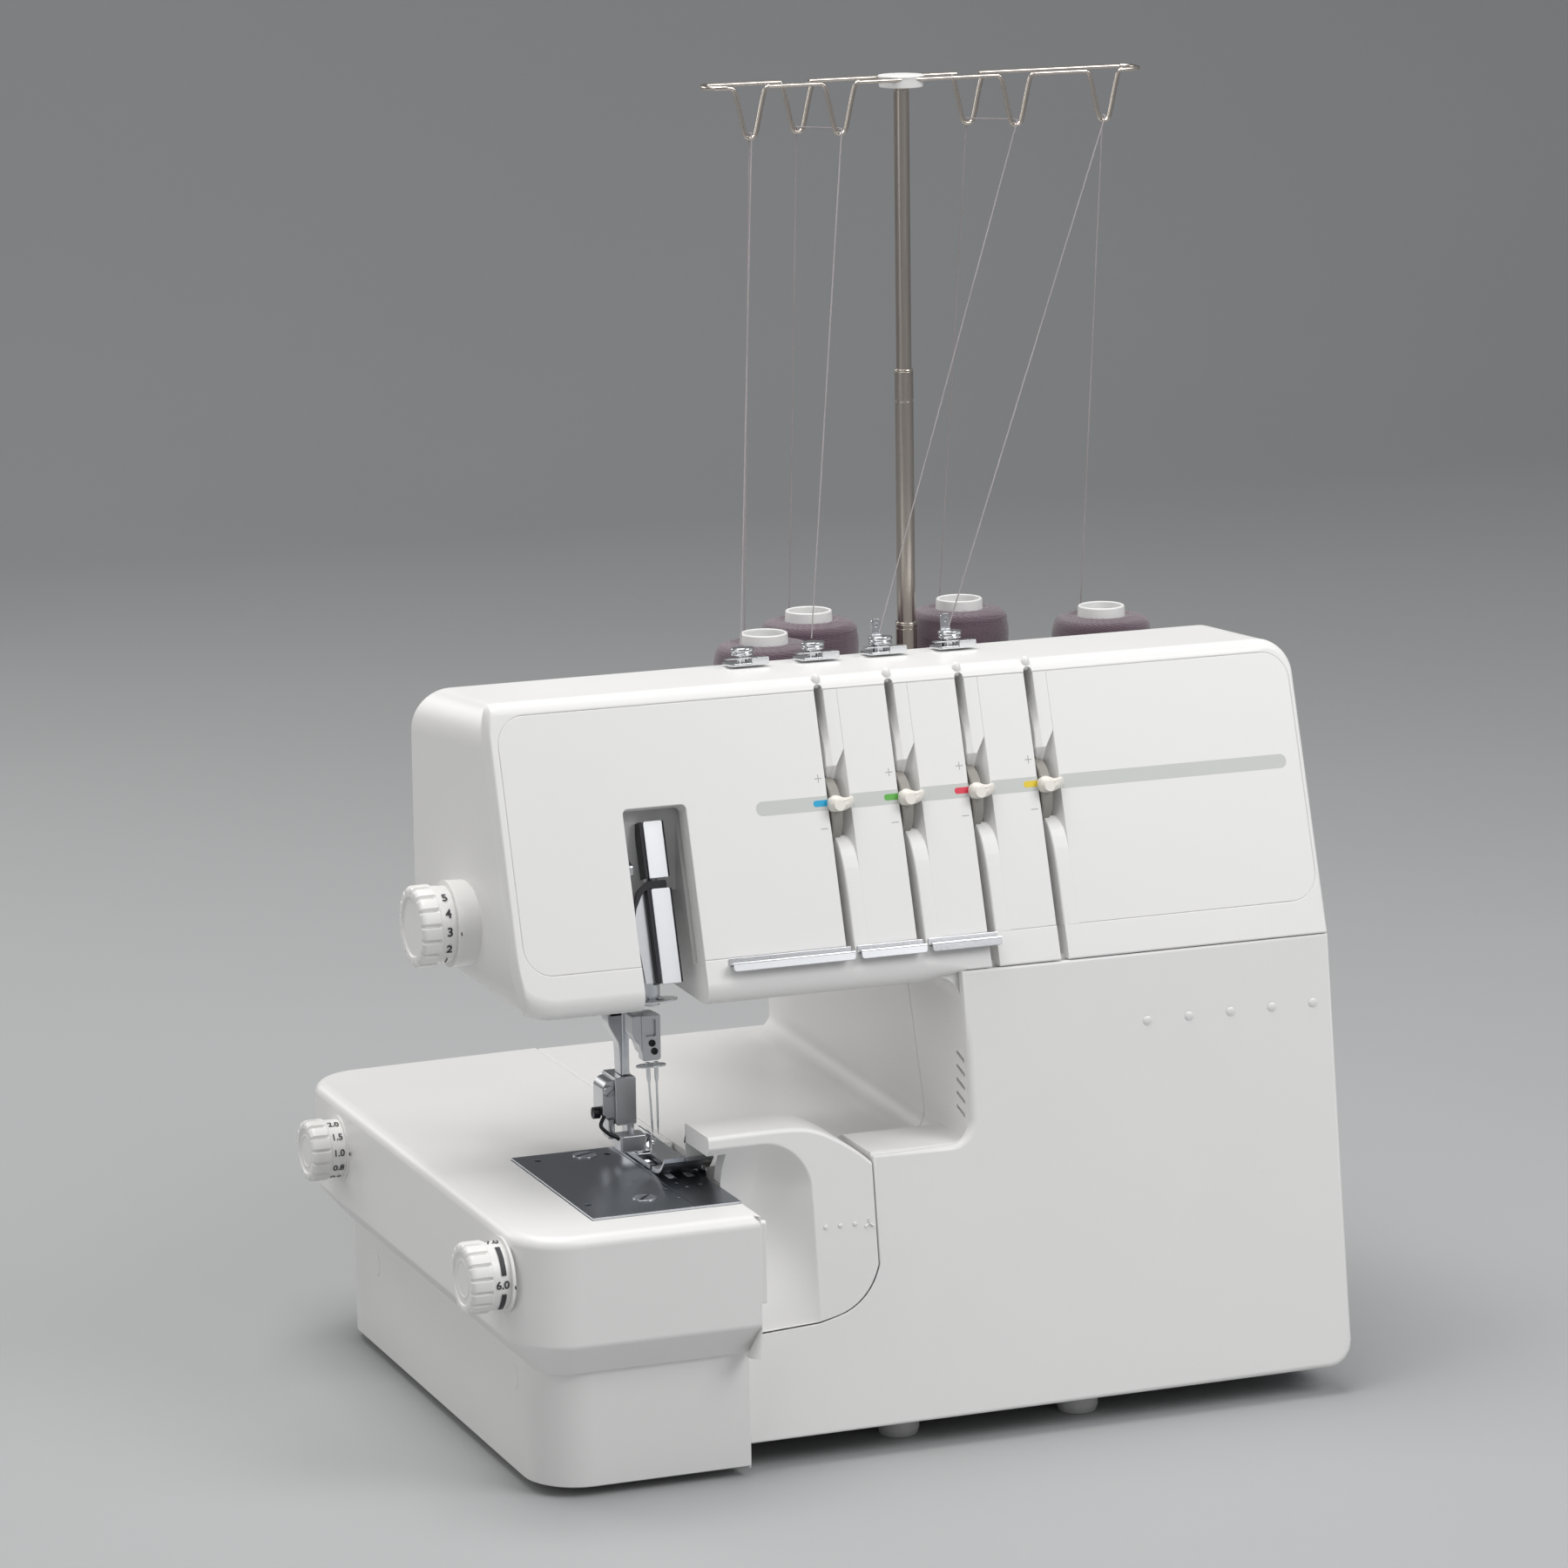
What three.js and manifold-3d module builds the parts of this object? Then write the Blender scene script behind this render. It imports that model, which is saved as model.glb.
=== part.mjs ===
// Four-thread serger (overlock) machine, in millimetres, +Z up.
// X runs to the operator's right, Y runs from the front to the back, and Z = 0 is the table.
// Shapes are drawn in machine coordinates, whose X = 0 is the needle plate's right edge and whose
// Y = 0 is the foot of the front cover; the last group moves them so that the origin is the middle
// of the bottom of the whole machine's box.
import * as THREE from 'three';
import { mergeVertices } from 'three/addons/utils/BufferGeometryUtils.js';
import Module from 'manifold-3d';

const wasm = await Module();
wasm.setup();

// ---- driving dimensions -------------------------------------------------------------------------
const GAP = 0.3;                 // clearance between neighbouring pieces
const WALL = 3;                  // thickness of the moulded shells
const RIGHT = 252;               // right side of the housing
const BACK = 260;                // back of the housing and of the cloth deck
const BODY_BOTTOM = 11.4;        // underside of the main body
const SEAM_Z = 178.3;            // seam between the front cover and the upper housing
const LOWER_LEAN = 0.15;         // front cover: millimetres back for each millimetre up
const UPPER_LEAN = 0.33;         // front panel: the same
const ARM_LEFT = -88;
const ARM_BOTTOM = 176;
const ARM_TOP = 290;
const ARM_TOP_BACK = 285;        // the top falls slightly towards the back
const ARM_BACK = 120;
const COLUMN_LEFT = 98.5;
const COLUMN_LEFT_BACK = 106;
const REAR_TOP = 212;            // top of the low rear block that carries the spool stand
const DECK_TOP = 103.75;
const DECK_LEFT = -92.6;
const DECK_FRONT = -16.8;
const DECK_SKIRT = 61.5;         // lower edge of the deck's upright side
const DECK_BOTTOM = 49;
const DECK_RIGHT_FRONT = 0.5;
const DECK_RIGHT_BACK = 7.3;     // the deck is wider behind the knives
const DECK_STEP_Y = 66;
const BASE_LEFT = -82.6;         // lower left cover
const BASE_FRONT = -4;
const BASE_BACK = 243;
const BASE_BOTTOM = 3.3;
const BAY_WALL = [58, 61];       // bulkhead behind the looper bay
const PLATE = { x: [-58.3, 0.1], y: [3.25, 96.6], z: [102.7, 104.7] };
const NEEDLE = { x: [-14.8, -11.4], y: 62, bottom: 117, top: 145.7 };
const NEEDLE_BAR = { x: -13, y: 62, r: 3.5 };
const PRESSER = { x: -16, y: 84, side: 7 };
const SHAFT = { y: 112, z: 80, r: 5 };
const MOTOR = { y: 190, z: 62, r: 34, x: [120, 214] };
const SHAFT_PULLEY_R = 30;
const MOTOR_PULLEY_R = 10;
const PULLEY_X = [236, 244];
const HANDWHEEL = { r: 34, x: [252.6, 272] };
const DOOR_THICK = 3.5;
const DOOR_RIM = 12;
const DOOR_TOP_Z = 177.9;
const DOOR_SLIDE = 8;            // the cover is pushed this far to the right before it tips open
const HINGE_ROD = { y: 9, z: 17.2, r: 2, x: [6, 246] };
const SLOTS_X = [53.9, 82.8, 111.9, 140.5];
const PANEL = { x: [-73, 250], z: [191, 283.4], depth: 12 };
const TENSION_Z = 241;
const TENSION_R = 14;
const RECESS = { x: [-28, -3], top: 247 };
const MAST = { x: 144.6, y: 190 };
const SPOOLS = [[73.9, 165], [108.4, 205], [173.9, 205], [219, 165]];
const STAND_TOP = 219;
const SPOOL = { bottom: 221, top: 287, r: 20.4, bore: 4.5, coreTop: 9.4, coreBottom: 12.5 };
const GUIDES_X = [43, 72, 100, 129];
const GUIDE_Y = 107;
const BAR_Z = 499.4;             // height of the wire of the thread guide bar
const BAR_HALF = 7.5;            // the two wires stand this far from the mast's axis
const HOOK_DEPTH = 20;
const FRONT_HOOKS_X = [77.9, 115.7, 190.6, 228.7];
const BACK_HOOKS_X = [103.6, 176.2];
const BAR_X = [61.7, 245.7];
const WIRE_R = 0.9;
const THREAD_R = 0.2;
const DIALS = {
  stitch_length_dial: { face: ARM_LEFT, y: 76, z: 203.5, r: 15.5, length: 14.5 },
  differential_feed_dial: { face: DECK_LEFT, y: 209, z: 85, r: 12.2, length: 14.5 },
  cutting_width_dial: { face: DECK_LEFT, y: 6.5, z: 86.5, r: 13.5, length: 16 },
};
const INLET = { y: [203, 229], z: [34, 56] };
const SWITCH = { y: [168, 186], z: [38, 52] };
const ARC_STEP = Math.PI / 10;    // a rounded corner turns this much per facet

// ---- small tools --------------------------------------------------------------------------------
const paint = (color, roughness, metalness) =>
  () => new THREE.MeshStandardMaterial({ color, roughness, metalness });
const WHITE_PLASTIC = paint(0xe9e8e6, 0.38, 0);
const CREAM_PLASTIC = paint(0xe6e2d8, 0.4, 0);
const BLACK_PLASTIC = paint(0x1c1c1e, 0.5, 0);
const RUBBER = paint(0xd8d8d6, 0.85, 0);
const STEEL = paint(0x9a9ea5, 0.32, 1);
const CHROME = paint(0xc9ccd2, 0.12, 1);
const NICKEL = paint(0xb4aca2, 0.3, 1);
const CAST_METAL = paint(0x9fa0a0, 0.55, 0.8);
const THREAD_FIBRE = paint(0x7d6a75, 0.95, 0);

/** Closed geometry -> solid. */
function solid(geometry) {
  const bare = geometry.index ? geometry.toNonIndexed() : geometry.clone();
  bare.deleteAttribute('normal');
  bare.deleteAttribute('uv');
  const merged = mergeVertices(bare, 1e-4);
  return new wasm.Manifold(new wasm.Mesh({
    numProp: 3,
    vertProperties: new Float32Array(merged.attributes.position.array),
    triVerts: new Uint32Array(merged.index.array),
  }));
}

/** Solid -> geometry. */
function geometryOf(body) {
  const mesh = body.getMesh();
  const geometry = new THREE.BufferGeometry();
  const points = new THREE.BufferAttribute(new Float32Array(mesh.vertProperties), 3);
  geometry.setAttribute('position', points);
  geometry.setIndex(new THREE.BufferAttribute(new Uint32Array(mesh.triVerts), 1));
  return geometry;
}

const join = (first, ...others) => others.reduce((sum, other) => sum.add(other), first);
const cut = (first, ...others) => others.reduce((rest, other) => rest.subtract(other), first);

/** Closed outline through corners [x, y, radius]; a corner with a radius becomes an arc. */
function outline(corners, Kind = THREE.Shape) {
  const count = corners.length;
  return new Kind(corners.flatMap(([x, y, radius = 0], i) => {
    const here = new THREE.Vector2(x, y);
    if (radius === 0) return [here];
    const toPrevious = new THREE.Vector2(...corners[(i + count - 1) % count]).sub(here).normalize();
    const toNext = new THREE.Vector2(...corners[(i + 1) % count]).sub(here).normalize();
    const half = Math.acos(toPrevious.dot(toNext)) / 2;
    const inward = toPrevious.clone().add(toNext).normalize();
    const centre = here.clone().addScaledVector(inward, radius / Math.sin(half));
    const start = here.clone().addScaledVector(toPrevious, radius / Math.tan(half)).sub(centre);
    const sweep = (Math.PI - 2 * half) * (toPrevious.cross(toNext) > 0 ? -1 : 1);
    const steps = radius < 2 ? 2 : Math.max(2, Math.ceil(Math.abs(sweep) / ARC_STEP));
    return Array.from({ length: steps + 1 }, (_, k) =>
      start.clone().rotateAround(new THREE.Vector2(), (sweep * k) / steps).add(centre));
  }));
}

/** Regular polygon of radius r about the origin. */
const ring = (r, sides) => Array.from({ length: sides }, (_, i) =>
  new THREE.Vector2(r, 0).rotateAround(new THREE.Vector2(), (2 * Math.PI * i) / sides));
const rectangle = (x0, y0, x1, y1, r = 0) =>
  outline([[x0, y0, r], [x1, y0, r], [x1, y1, r], [x0, y1, r]]);

function extrude(shape, depth, curveSegments = 3) {
  return new THREE.ExtrudeGeometry(shape, { depth, bevelEnabled: false, curveSegments });
}

/** Outline in X, Y pulled up from z0 to z1. */
const prismZ = (shape, z0, z1, segments) => extrude(shape, z1 - z0, segments).translate(0, 0, z0);

/** Outline in X, Z pulled back from y0 to y1. */
const prismY = (shape, y0, y1, segments) =>
  extrude(shape, y1 - y0, segments).rotateX(Math.PI / 2).translate(0, y1, 0);

/** Outline in Y, Z pulled to the right from x0 to x1. */
function prismX(shape, x0, x1, segments) {
  const turn = new THREE.Matrix4().makeBasis(
    new THREE.Vector3(0, 1, 0), new THREE.Vector3(0, 0, 1), new THREE.Vector3(1, 0, 0));
  return extrude(shape, x1 - x0, segments).applyMatrix4(turn).translate(x0, 0, 0);
}

const box = (x0, x1, y0, y1, z0, z1) =>
  new THREE.BoxGeometry(x1 - x0, y1 - y0, z1 - z0)
    .translate((x0 + x1) / 2, (y0 + y1) / 2, (z0 + z1) / 2);
const rodX = (y, z, r, x0, x1, sides = 24) =>
  new THREE.CylinderGeometry(r, r, x1 - x0, sides).rotateZ(Math.PI / 2).translate((x0 + x1) / 2, y, z);
const rodY = (x, z, r, y0, y1, sides = 20) =>
  new THREE.CylinderGeometry(r, r, y1 - y0, sides).translate(x, (y0 + y1) / 2, z);
const rodZ = (x, y, r, z0, z1, sides = 24) =>
  new THREE.CylinderGeometry(r, r, z1 - z0, sides).rotateX(Math.PI / 2).translate(x, y, (z0 + z1) / 2);

/** Solid of revolution about Z; the profile is a closed ring of [radius, z] or ends on the axis. */
function turned(profile, sides = 24) {
  const points = profile.map(([r, z]) => new THREE.Vector2(r, z));
  return new THREE.LatheGeometry(points, sides).rotateX(Math.PI / 2);
}

/** Round wire of radius r along a curve. */
function wire(curve, r, steps, sides = 8) {
  return new THREE.ExtrudeGeometry(new THREE.Shape(ring(r, sides)), {
    steps, extrudePath: curve, bevelEnabled: false });
}

const machine = new THREE.Group();

/** Adds one named piece to a group. */
function piece(name, geometry, material, parent = machine) {
  const mesh = new THREE.Mesh(geometry.isBufferGeometry ? geometry : geometryOf(geometry), material());
  mesh.name = name;
  parent.add(mesh);
  return mesh;
}

// The two leaning fronts have frames of their own: X to the right, Y up the slope, Z out of the face.
function leaningFrame(y, z, lean) {
  const frame = new THREE.Group();
  frame.position.set(0, y, z);
  frame.rotation.x = Math.PI / 2 - Math.atan(lean);
  machine.add(frame);
  frame.updateMatrix();
  return frame;
}
const lowerY = (z) => LOWER_LEAN * (z - BODY_BOTTOM);
const upperStartY = lowerY(SEAM_Z);
const upperY = (z) => upperStartY + UPPER_LEAN * (z - SEAM_Z);
const lowerFront = leaningFrame(0, BODY_BOTTOM, LOWER_LEAN);
const upperFront = leaningFrame(upperStartY, SEAM_Z, UPPER_LEAN);
const upLower = (z) => (z - BODY_BOTTOM) * Math.hypot(1, LOWER_LEAN);
const upUpper = (z) => (z - SEAM_Z) * Math.hypot(1, UPPER_LEAN);
const inFrame = (geometry, frame) => solid(geometry.applyMatrix4(frame.matrix));

// ---- housing ------------------------------------------------------------------------------------
const armOutline = (inset) => outline([
  [ARM_LEFT + inset, ARM_BOTTOM + inset, 26 - inset], [RIGHT - inset, ARM_BOTTOM + inset],
  [RIGHT - inset, ARM_TOP - inset, 14 - inset], [ARM_LEFT + inset, ARM_TOP - inset, 15 - inset]]);

const armSection = (inset) => outline([
  [upperY(ARM_BOTTOM) + 1.2 * inset, ARM_BOTTOM + inset, 6],
  [ARM_BACK - inset, ARM_BOTTOM + inset, 8 - inset],
  [ARM_BACK - inset, ARM_TOP_BACK - inset, 8 - inset],
  [upperY(ARM_TOP) + inset, ARM_TOP - inset, 9 - inset]]);

const arm = (inset) => solid(prismX(armSection(inset), ARM_LEFT + inset, RIGHT - inset))
  .intersect(solid(prismY(armOutline(inset), 0, BACK)));

const columnPlan = (inset, front) => outline([
  [COLUMN_LEFT + inset, front], [RIGHT - inset, front],
  [RIGHT - inset, BACK - inset, 12 - inset], [COLUMN_LEFT_BACK + inset, BACK - inset, 12 - inset]]);

const bedPlan = (inset, front) => outline([
  [DECK_RIGHT_BACK + GAP + inset, front], [COLUMN_LEFT_BACK + 16, front],
  [COLUMN_LEFT_BACK + 16, BACK - inset], [DECK_RIGHT_BACK + GAP + inset, BACK - inset]]);

/** Everything behind a plane parallel to the front cover, `behind` millimetres back. */
const behindLowerFront = (behind) => solid(prismX(outline([
  [lowerY(0) + behind, 0], [BACK + 10, 0], [BACK + 10, REAR_TOP + 10],
  [lowerY(ARM_BOTTOM) + behind, ARM_BOTTOM], [lowerY(0) + behind, 0.1]]), -10, RIGHT + 10));

const FILLET = 8;                 // radius where the column meets the bed
const bedFillet = solid(prismY(outline([
  [COLUMN_LEFT - FILLET, DECK_TOP - 1], [COLUMN_LEFT - FILLET, DECK_TOP],
  [COLUMN_LEFT, DECK_TOP, FILLET - 0.1], [COLUMN_LEFT, DECK_TOP + FILLET],
  [COLUMN_LEFT_BACK + 4, DECK_TOP + FILLET], [COLUMN_LEFT_BACK + 4, DECK_TOP - 1]]),
BAY_WALL[0], BACK - 12));

const OVERLAP = 8;                // the arm and the column are joined over this height
const columnBlock = solid(prismZ(columnPlan(0, 0), BODY_BOTTOM, ARM_BOTTOM + OVERLAP))
  .intersect(behindLowerFront(DOOR_THICK + GAP));
const rearBlock = solid(prismZ(columnPlan(0, ARM_BACK - 12), BODY_BOTTOM, REAR_TOP));
const bedBlock = solid(prismZ(bedPlan(0, BAY_WALL[0]), BODY_BOTTOM, DECK_TOP));

const rearCavity = join(
  solid(prismZ(columnPlan(WALL, BAY_WALL[1]), 0, ARM_BOTTOM - WALL)),
  solid(prismZ(columnPlan(WALL, ARM_BACK + GAP), 0, REAR_TOP - WALL)),
  solid(prismZ(bedPlan(WALL, BAY_WALL[1]), 0, DECK_TOP - WALL)));
const looperBay = solid(box(
  COLUMN_LEFT + WALL, RIGHT - WALL, -10, BAY_WALL[0], 0, ARM_BOTTOM - WALL));
const doorRimRoom = inFrame(box(
  RIGHT - WALL - 1, RIGHT + 1, -20, upLower(DOOR_TOP_Z + GAP), -DOOR_RIM - GAP, 1), lowerFront);
const doorFootRoom = inFrame(box(0, RIGHT + 1, -2, 10, -DOOR_RIM - GAP, 1), lowerFront);
const SWING_R = 11.4;             // the cover's lower edge stays this close to the hinge rod
const swingWalls = [[COLUMN_LEFT - 5, COLUMN_LEFT + WALL + 3], [RIGHT - WALL - 3, RIGHT + 1]];
const doorSwingRoom = swingWalls.map(([x0, x1]) =>
  solid(rodX(HINGE_ROD.y, HINGE_ROD.z, SWING_R, x0, x1)));
const panelRoom = inFrame(prismZ(rectangle(PANEL.x[0] - GAP, upUpper(PANEL.z[0]) - GAP,
  PANEL.x[1] + GAP, upUpper(PANEL.z[1]) + GAP, 10), -PANEL.depth - GAP, 5), upperFront);
const panelOpening = inFrame(prismZ(rectangle(PANEL.x[0] + 4, upUpper(PANEL.z[0]) + 4,
  PANEL.x[1] - 4, upUpper(PANEL.z[1]) - 4, 8), -PANEL.depth - 12, 0), upperFront);
const recessRoom = solid(box(RECESS.x[0], RECESS.x[1], 0, 48, ARM_BOTTOM - 1, PANEL.z[0] + 2));
const barsHole = solid(box(
  PRESSER.x - 7, NEEDLE_BAR.x + 7, 47, PRESSER.y + 7, ARM_BOTTOM - 2, ARM_BOTTOM + WALL + 2));
const lifterSlot = solid(box(-41, -31, ARM_BACK - WALL - 2, ARM_BACK + 2, 182, 210));
const shaftHole = solid(rodX(SHAFT.y, SHAFT.z, SHAFT.r + 1.5, RIGHT - 2 * WALL, RIGHT + 2));
/** Opening in the right wall, `dy` and `dz` larger than what it holds. */
const sideHole = ({ y, z }, dy, dz) =>
  solid(box(RIGHT - 2 * WALL, RIGHT + 2, y[0] - dy, y[1] + dy, z[0] - dz, z[1] + dz));
const inletHole = sideHole(INLET, GAP, GAP);
const switchHole = sideHole(SWITCH, 1.6, 1);
const mastHole = solid(rodZ(MAST.x, MAST.y, 5, REAR_TOP - 2 * WALL, REAR_TOP + 2));
const LOOPERS = [
  { name: 'upper_looper', pivot: [34, 46], tip: [-4, 95], y: [37, 42] },
  { name: 'lower_looper', pivot: [14, 36], tip: [-24, 88], y: [48, 53] },
];
const looperHoles = LOOPERS.map(({ pivot: [x, z] }) =>
  solid(rodY(x, z, 4, BAY_WALL[0] - 2, BAY_WALL[1] + 2)));
const VENTS_Z = [120, 125.5, 131, 136.5, 142];
const ventSlots = VENTS_Z.map((z) => solid(box(COLUMN_LEFT - 1, COLUMN_LEFT + 1.2, 23, 33, z, z + 2)));

piece('rear_housing', cut(
  join(arm(0), columnBlock, rearBlock, bedBlock, bedFillet),
  arm(WALL), rearCavity, looperBay, doorRimRoom, doorFootRoom, ...doorSwingRoom, panelRoom,
  panelOpening, recessRoom, barsHole, lifterSlot, shaftHole, inletHole, switchHole, mastHole,
  ...looperHoles, ...ventSlots), WHITE_PLASTIC);

const platePlan = outline([
  [12, 16], [RIGHT - 5, 16], [RIGHT - 5, BACK - 4, 10], [12, BACK - 4, 4]]);
const plateBottom = BODY_BOTTOM - 3;
piece('base_plate', prismZ(platePlan, plateBottom, BODY_BOTTOM - GAP), CAST_METAL);

const FEET = [[70.5, 24.2], [145, 24.2], [60, 236], [226, 236]];
const FOOT_R = 8;
const footTop = plateBottom - GAP;
FEET.forEach(([x, y], i) => {
  const profile = [[0, 0], [FOOT_R - 1, 0], [FOOT_R, 2.5], [FOOT_R, footTop], [0, footTop]];
  piece(`foot_${i + 1}`, turned(profile, 20), RUBBER).position.set(x, y, 0);
});

// ---- left side: lower cover, cloth deck, needle plate -------------------------------------------
const leftPlan = (inset, left, front, back, radius) => outline([
  [left + inset, front + inset, radius - inset], [DECK_RIGHT_FRONT - 0.5 - inset, front + inset],
  [DECK_RIGHT_FRONT - 0.5 - inset, DECK_STEP_Y + inset], [DECK_RIGHT_BACK - inset, DECK_STEP_Y + inset],
  [DECK_RIGHT_BACK - inset, back - inset], [left + inset, back - inset, radius - inset]]);

const LEFT_FEET = [[-58, 26], [-58, 216]];
const leftFeet = LEFT_FEET.map(([x, y]) => solid(rodZ(x, y, FOOT_R, 0, BASE_BOTTOM + 1, 20)));
piece('lower_left_cover', join(cut(
  solid(prismZ(leftPlan(0, BASE_LEFT, BASE_FRONT, BASE_BACK, 22), BASE_BOTTOM, DECK_BOTTOM - GAP)),
  solid(prismZ(leftPlan(WALL, BASE_LEFT, BASE_FRONT, BASE_BACK, 22), BASE_BOTTOM + WALL, DECK_BOTTOM)),
  solid(box(-4, 1, 12, 60, 40, DECK_BOTTOM + 1))),
...leftFeet), WHITE_PLASTIC);

/** Deck block: upright sides down to the skirt, then a slope back in to the lower cover. */
function deckBlock(inset, top) {
  const slope = 11;
  const plan = outline([
    [DECK_LEFT + inset, DECK_FRONT + inset, 22], [40, DECK_FRONT + inset],
    [40, BACK + 0.01 - inset], [DECK_LEFT + inset, BACK + 0.01 - inset, 22]]);
  const block = new THREE.ExtrudeGeometry(plan, {
    depth: 60, bevelEnabled: true, bevelThickness: DECK_SKIRT - DECK_BOTTOM, bevelSize: slope,
    bevelOffset: -slope, bevelSegments: 1, curveSegments: 3 }).translate(0, 0, DECK_SKIRT);
  const keep = join(
    solid(box(DECK_LEFT - 5, DECK_RIGHT_FRONT - inset, DECK_FRONT - 5, BACK + 5, 0, top)),
    solid(box(-20, DECK_RIGHT_BACK - inset, DECK_STEP_Y + inset, BACK + 5, 0, top)));
  return solid(block).intersect(keep);
}
const plateRoom = solid(box(
  PLATE.x[0] - GAP, 20, PLATE.y[0] - GAP, PLATE.y[1] + GAP, DECK_TOP - 2 * WALL, DECK_TOP + 5));
const knifeSide = solid(box(-6, 20, 12, 60, DECK_BOTTOM - 1, DECK_TOP + 5));
piece('deck_cover', cut(
  deckBlock(0, DECK_TOP), deckBlock(WALL, DECK_TOP - WALL), plateRoom, knifeSide), WHITE_PLASTIC);

const DOG_ROWS_X = [-13.2, -6];
const DOG_ROWS_Y = [[46, 56], [70, 86]];
const DOG_ROW_WIDE = 2.5;
const through = [PLATE.z[0] - 1, PLATE.z[1] + 1];
const dogSlots = DOG_ROWS_X.flatMap((x) => DOG_ROWS_Y.map(([y0, y1]) =>
  solid(box(x - 0.7, x + DOG_ROW_WIDE + 0.7, y0 - 3.2, y1 + 3.2, ...through))));
const needleHole = solid(box(NEEDLE.x[0] - 2, NEEDLE.x[1] + 2, 59.6, 64.8, ...through));
const PLATE_HOLES = [[-53, 22], [-31, 22], [-31, 90]];
const screwHoles = PLATE_HOLES.map(([x, y]) => solid(rodZ(x, y, 3.4, ...through, 20)));
piece('needle_plate', cut(
  solid(box(...PLATE.x, ...PLATE.y, ...PLATE.z)), needleHole, ...dogSlots, ...screwHoles), STEEL);

const dogBase = cut(
  solid(box(-20, -3.2, 43, 89, 92, 96)),
  solid(box(NEEDLE.x[0] - 3, NEEDLE.x[1] + 3, 56, 68, 90, 98)));
const dogRows = DOG_ROWS_X.flatMap((x) => DOG_ROWS_Y.map(([y0, y1]) => {
  const teeth = [[y0, 95], [y1, 95], [y1, 103.6]];
  for (let y = y1; y > y0 + 0.1; y -= 2) teeth.push([y - 1, 104.9], [y - 2, 103.6]);
  return solid(prismX(outline(teeth), x, x + DOG_ROW_WIDE));
}));
piece('feed_dog', join(dogBase, ...dogRows), STEEL);

piece('lower_knife', prismX(outline([[46, 86], [60, 86], [60, 104.4], [46, 102]]), 0.9, 2.4), STEEL);
piece('upper_knife', prismX(outline([
  [53, 98], [63, 98], [63, 104], [58.5, 106], [57.5, 112], [60, 115], [63, 115.5], [62, 118, 2],
  [56, 117.5, 3], [53.5, 110]]), 2.8, 4.8), BLACK_PLASTIC);

// ---- loopers ------------------------------------------------------------------------------------
LOOPERS.forEach(({ name, pivot: [px, pz], tip: [tx, tz], y: [y0, y1] }) => {
  const blade = solid(prismY(outline([
    [px - 5, pz - 5, 3], [px + 5, pz - 3, 3], [px + 4, pz + 10],
    [(px + tx) / 2 + 6, (pz + tz) / 2 + 6, 6], [tx + 1, tz + 1], [tx - 1, tz - 3],
    [(px + tx) / 2 - 2, (pz + tz) / 2 - 2, 6]]), y0, y1));
  piece(name, join(blade, solid(rodY(px, pz, 3, y0 + 1, BAY_WALL[1] + 9))), STEEL);
});

// ---- arm: needle bar, take-up, presser ----------------------------------------------------------
piece('needle_bar', rodZ(NEEDLE_BAR.x, NEEDLE_BAR.y, NEEDLE_BAR.r, 168, 234), STEEL);
piece('needle_clamp', prismZ(rectangle(-18.4, 57.4, -7.8, 66.6, 1.5), 146, 168 - GAP), STEEL);
['left_needle', 'right_needle'].forEach((name, i) => {
  const long = NEEDLE.top - NEEDLE.bottom;
  const needle = turned([[0, 0], [0.55, 4], [0.55, 16], [1, 18], [1, long], [0, long]], 12);
  piece(name, needle, STEEL).position.set(NEEDLE.x[i], NEEDLE.y, NEEDLE.bottom);
});
piece('take_up_guard', cut(
  solid(prismX(outline([[42.6, 186], [52, 184], [53, 242], [48.4, 241.6, 2]]), -20, -8)),
  solid(prismX(outline([[45.2, 180], [60, 180], [60, 250], [52, 250]]), -17.5, -10.5)),
  solid(box(-22, -12, 35, 60, 218.6, 221.4))), CHROME);
const leverShape = outline([
  [78, 240, 5], [88, 240, 5], [88, 230, 5], [60, 222], [46, 221, 1.5], [46, 226, 1.5], [60, 230]]);
piece('take_up_lever', join(
  solid(prismX(leverShape, -26.4, -24)), solid(rodX(83, 235, 4, -27, -2))), STEEL);

const half = PRESSER.side / 2;
const barSection = rectangle(
  PRESSER.x - half, PRESSER.y - half, PRESSER.x + half, PRESSER.y + half, 1);
piece('presser_bar', prismZ(barSection, 137, 222), STEEL);
piece('presser_ankle', join(
  solid(prismZ(rectangle(-22, 77, -9, 92, 1.5), 118, 137 - GAP)),
  solid(box(-21, -18, 78, 88, 113, 119)), solid(box(-12, -9, 78, 88, 113, 119))), STEEL);
const footShape = outline([
  [104, 105.2], [104, 107.4, 1], [52, 107.4, 4], [42, 111.5], [41, 110, 0.5], [50, 105.2, 3]]);
const footHigh = [100, 115];
const footSole = cut(
  solid(prismX(footShape, -17.6, 6.6)),
  solid(box(-0.4, 10, 50.5, 110, ...footHigh)),
  solid(box(NEEDLE.x[0] - 1.8, NEEDLE.x[1] + 2, 56, 70, ...footHigh)),
  solid(box(-9, -7.5, 38, 52, ...footHigh)));
piece('presser_foot', join(footSole, solid(box(-17.4, -12.6, 79, 87, 106, 116))), CHROME);
const lifterShape = outline([
  [111, 196.4], [111.4, 190.8], [138, 182], [152, 178], [154, 182.4], [138, 187.2]]);
piece('presser_lifter', join(
  solid(rodX(111.6, 194, 4.3, -42, -30, 12)), solid(prismX(lifterShape, -39, -33))), CREAM_PLASTIC);

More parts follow.
